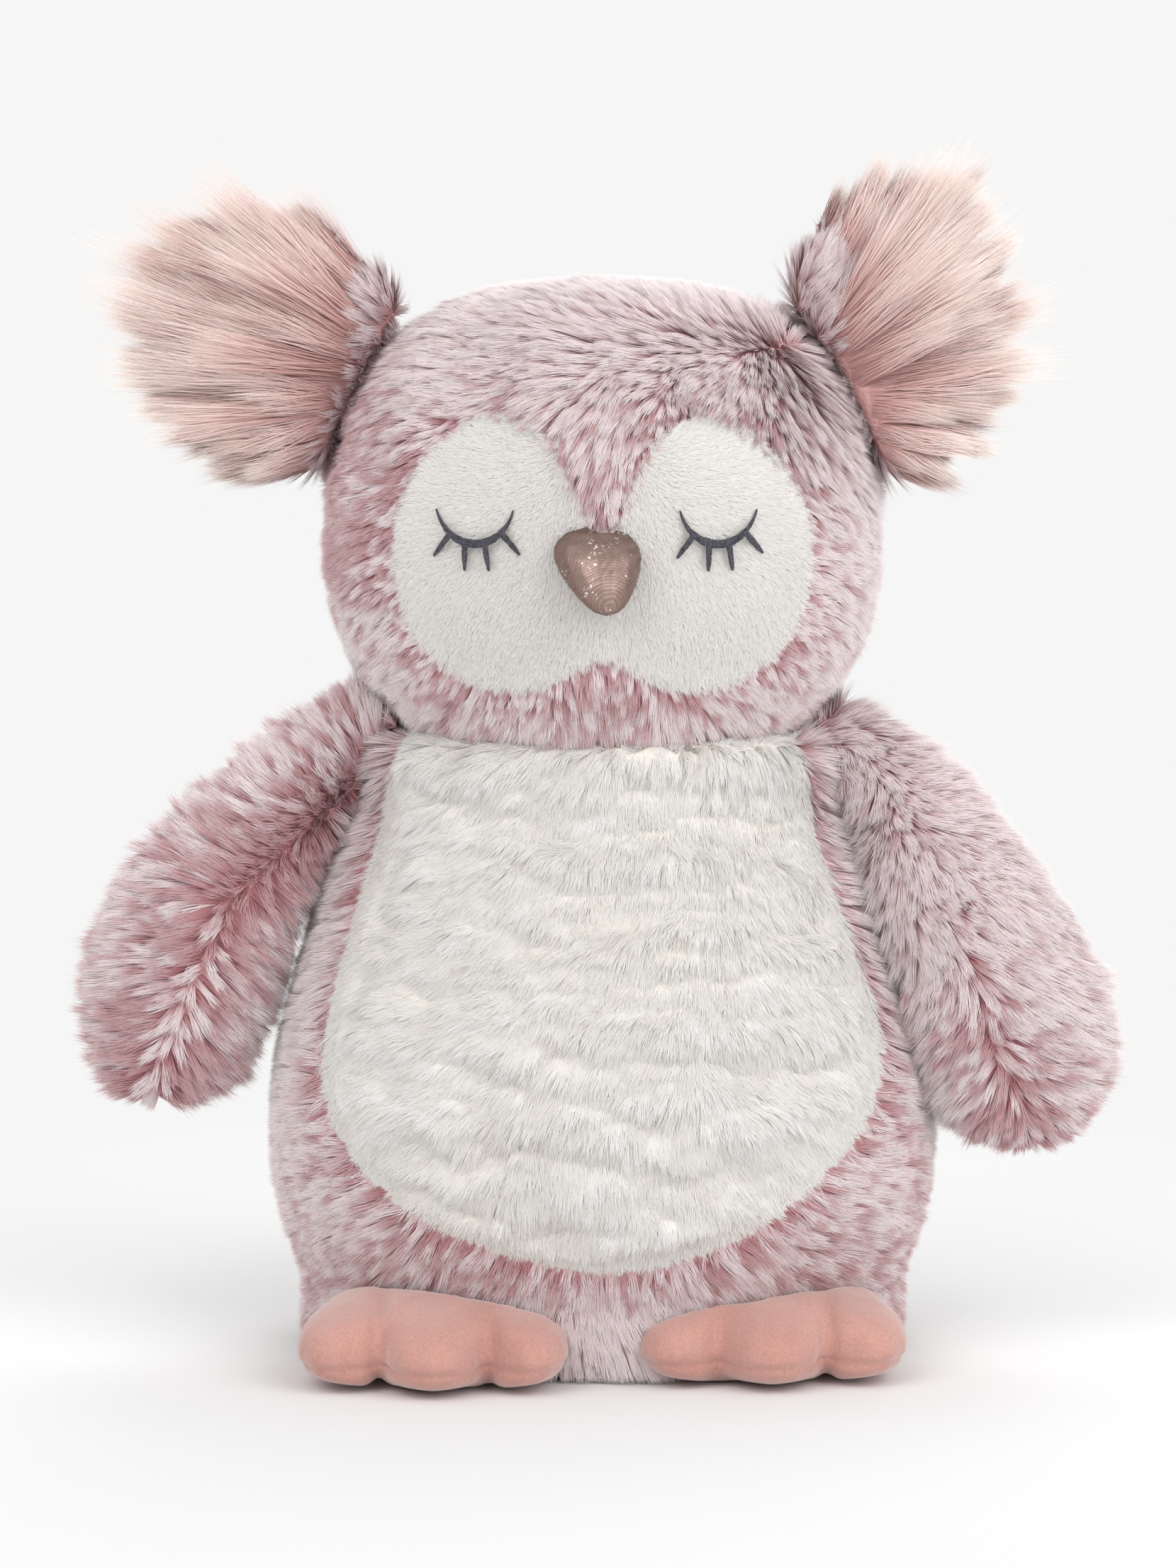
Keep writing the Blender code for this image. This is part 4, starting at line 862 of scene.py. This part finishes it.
def makeStitchTree():
    tree = bpy.data.node_groups.new("satinStitch", "GeometryNodeTree")
    for name, kind in (("Geometry", "NodeSocketGeometry"), ("Thread", "NodeSocketObject"),
                       ("Spacing", "NodeSocketFloat"), ("Girth", "NodeSocketFloat"), ("Slant", "NodeSocketFloat"),
                       ("Material", "NodeSocketMaterial")):
        tree.interface.new_socket(name, in_out="INPUT", socket_type=kind)
    tree.interface.new_socket("Geometry", in_out="OUTPUT", socket_type="NodeSocketGeometry")
    given = addNode(tree, "NodeGroupInput").outputs

    def named(name, kind):
        return addNode(tree, "GeometryNodeInputNamedAttribute", {"Name": name}, data_type=kind).outputs["Attribute"]

    curve = addNode(tree, "GeometryNodeMeshToCurve", {"Mesh": given["Geometry"]}).outputs[0]
    curve = addNode(tree, "GeometryNodeResampleCurve", {"Curve": curve, "Length": given["Spacing"]}, mode="LENGTH").outputs[0]
    tangent = addNode(tree, "GeometryNodeInputTangent").outputs[0]
    outward = vecCalc(tree, "NORMALIZE", named("outward", "FLOAT_VECTOR"))
    across = vecCalc(tree, "NORMALIZE", vecCalc(tree, "CROSS_PRODUCT", outward, tangent))
    across = vecCalc(tree, "ADD", across, vecCalc(tree, "SCALE", tangent, given["Slant"]))
    loose = addNode(tree, "FunctionNodeRandomValue", {2: 0.9, 3: 1.1, "Seed": 3}, data_type="FLOAT").outputs[1]
    wide = calc(tree, "MULTIPLY", named("lineWidth", "FLOAT"), loose)
    scale = addNode(tree, "ShaderNodeCombineXYZ", {0: wide, 1: given["Girth"], 2: given["Girth"]}).outputs[0]
    turned = addNode(tree, "FunctionNodeAxesToRotation", {0: outward, 1: across}, primary_axis="Z", secondary_axis="X")
    placed = addNode(tree, "GeometryNodeInstanceOnPoints",
                     {"Points": curve, "Instance": addNode(tree, "GeometryNodeObjectInfo", {"Object": given["Thread"]}).outputs["Geometry"],
                      "Rotation": turned.outputs[0], "Scale": scale})
    made = addNode(tree, "GeometryNodeRealizeInstances", {"Geometry": placed.outputs[0]}).outputs[0]
    dressed = addNode(tree, "GeometryNodeSetMaterial", {"Geometry": made, "Material": given["Material"]})
    addNode(tree, "NodeGroupOutput", {"Geometry": dressed.outputs[0]})
    return tree


stitchTree = makeStitchTree()
threadShape = threadMesh()
eyeLook = {"apart": 27.3, "middle": -1.5, "height": 199.5, "halfWidth": 8.65, "sag": 10.3, "lift": -0.25,
           "lidWidths": (0.5, 2.3), "lashPlaces": (-0.64, -0.25, 0.26, 0.69), "lashSlants": (-0.63, -0.02, 0.14, 0.70),
           "lashLength": 6.3, "lashWidths": (1.7, 0.7)}


def lidPoint(share):
    return (share * eyeLook["halfWidth"], -math.sqrt(max(1 - 0.92 * share * share, 0)) * eyeLook["sag"])


for sideName, side in (("right", -1), ("left", 1)):
    surface = nodeTree([sideName + "_eye_stitches", "face_panel"])
    lines = []
    lid = []
    for step in range(41):
        share = step / 20 - 1
        wide = eyeLook["lidWidths"][0] + (eyeLook["lidWidths"][1] - eyeLook["lidWidths"][0]) * (1 - abs(share) ** 2.4)
        lid.append((*lidPoint(share), wide))
    lines.append(lid)
    for place, slant in zip(eyeLook["lashPlaces"], eyeLook["lashSlants"]):
        across, down = lidPoint(place)
        lash = []
        for step in range(9):
            share = step / 8
            wide = eyeLook["lashWidths"][0] + (eyeLook["lashWidths"][1] - eyeLook["lashWidths"][0]) * share ** 3
            reach = eyeLook["lashLength"] * share
            lash.append((across + math.sin(slant) * reach, down - math.cos(slant) * reach, wide))
        lines.append(lash)
    corners, edges, outwards, widths = [], [], [], []
    for line in lines:
        start = len(corners)
        for across, down, wide in line:
            x = (eyeLook["middle"] + side * eyeLook["apart"] + across) * mm
            z = (eyeLook["height"] + down) * mm
            place, normal = surface.ray_cast(Vector((x, -1, z)), Vector((0, 1, 0)))[:2]
            corners.append(tuple(place + normal * eyeLook["lift"] * mm))
            outwards.append(tuple(normal))
            widths.append(wide * mm)
        edges += [(number, number + 1) for number in range(start, len(corners) - 1)]
    mesh = bpy.data.meshes.new(sideName + "EyeStitches")
    mesh.from_pydata(corners, edges, [])
    paint(mesh, "outward", np.array(outwards))
    paint(mesh, "lineWidth", np.array(widths))
    eye = linked(sideName + "EyeStitches", mesh)
    sewer = eye.modifiers.new("stitches", "NODES")
    sewer.node_group = stitchTree
    chosen = {"Thread": threadShape, "Spacing": 0.27 * mm, "Girth": 0.42 * mm, "Slant": 0.35, "Material": darkThread}
    for item in stitchTree.interface.items_tree:
        if item.in_out == "INPUT" and item.name in chosen:
            sewer[item.identifier] = chosen[item.name]
    eye.data = evaluatedMesh(eye)
    eye.modifiers.clear()
    wear((eye,), "head")
    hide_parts(sideName + "_eye_stitches")
print("eyes made", flush=True)


# Floor, light and camera

def areaLamp(name, place, target, size, power):
    lamp = bpy.data.lights.new(name, "AREA")
    lamp.shape = "SQUARE"
    lamp.size = size
    lamp.energy = power
    made = bpy.data.objects.new(name, lamp)
    bpy.context.scene.collection.objects.link(made)
    made.location = place
    made.rotation_euler = (Vector(target) - Vector(place)).to_track_quat("-Z", "Y").to_euler()
    return made


areaLamp("keyLamp", (-0.7, -1.1, 1.1), (0, 0, 0.13), 1.1, 9.3)
areaLamp("fillLamp", (0.9, -1.0, 0.85), (0, 0, 0.13), 1.1, 11.5)
areaLamp("backLamp", (0.2, 1.0, 1.0), (0, 0, 0.14), 1.2, 8)

background = 0.921
world = bpy.data.worlds.new("studio")
world.use_nodes = True
bpy.context.scene.world = world
tree = world.node_tree
tree.nodes.clear()
path = addNode(tree, "ShaderNodeLightPath")
seen = addNode(tree, "ShaderNodeBackground", {"Color": (background, background, background, 1), "Strength": 1.0})
around = addNode(tree, "ShaderNodeBackground", {"Color": (1, 1, 1, 1), "Strength": 0.74})
choice = addNode(tree, "ShaderNodeMixShader", {0: path.outputs["Is Camera Ray"], 1: around.outputs[0], 2: seen.outputs[0]})
addNode(tree, "ShaderNodeOutputWorld", {0: choice.outputs[0]})

shape = bmesh.new()
bmesh.ops.create_grid(shape, x_segments=1, y_segments=1, size=1.5)
floorMesh = bpy.data.meshes.new("floor")
shape.to_mesh(floorMesh)
shape.free()
floor = linked("floor", floorMesh)
floorFinish = bpy.data.materials.new("paleFloor")
floorFinish.use_nodes = True
tree = floorFinish.node_tree
tree.nodes.clear()
path = addNode(tree, "ShaderNodeLightPath")
places = addNode(tree, "ShaderNodeTexCoord").outputs["Object"]
far = calc(tree, "MULTIPLY", vecCalc(tree, "LENGTH", places), 1 / 0.34)
far = ramp(tree, far, ((0.35, (0, 0, 0, 1)), (1.0, (1, 1, 1, 1))))
lit = addNode(tree, "ShaderNodeBsdfDiffuse", {"Color": (0.8, 0.8, 0.8, 1)})
glow = addNode(tree, "ShaderNodeEmission", {"Color": (background, background, background, 1), "Strength": 1.0})
shown = addNode(tree, "ShaderNodeMixShader", {0: far, 1: lit.outputs[0], 2: glow.outputs[0]})
choice = addNode(tree, "ShaderNodeMixShader", {0: path.outputs["Is Camera Ray"], 1: lit.outputs[0], 2: shown.outputs[0]})
addNode(tree, "ShaderNodeOutputMaterial", {0: choice.outputs[0]})
floorMesh.materials.append(floorFinish)

lens = {"distance": 1.25, "lift": math.radians(6), "aim": (-3.4 * mm, 0, 130.4 * mm), "pixel": 0.165 * mm, "rows": 2212}
camera = bpy.data.cameras.new("camera")
camera.sensor_fit = "VERTICAL"
camera.angle_y = 2 * math.atan(lens["rows"] * lens["pixel"] / 2 / lens["distance"])
cameraObject = bpy.data.objects.new("camera", camera)
bpy.context.scene.collection.objects.link(cameraObject)
back = Vector((0, -math.cos(lens["lift"]), math.sin(lens["lift"]))) * lens["distance"]
cameraObject.location = Vector(lens["aim"]) + back
cameraObject.rotation_euler = (math.pi / 2 - lens["lift"], 0, 0)
bpy.context.scene.camera = cameraObject
bpy.context.scene.view_settings.view_transform = "Standard"

for helper in (shortBlade, longBlade, threadShape):
    bpy.data.objects.remove(helper)

print("scene made", flush=True)
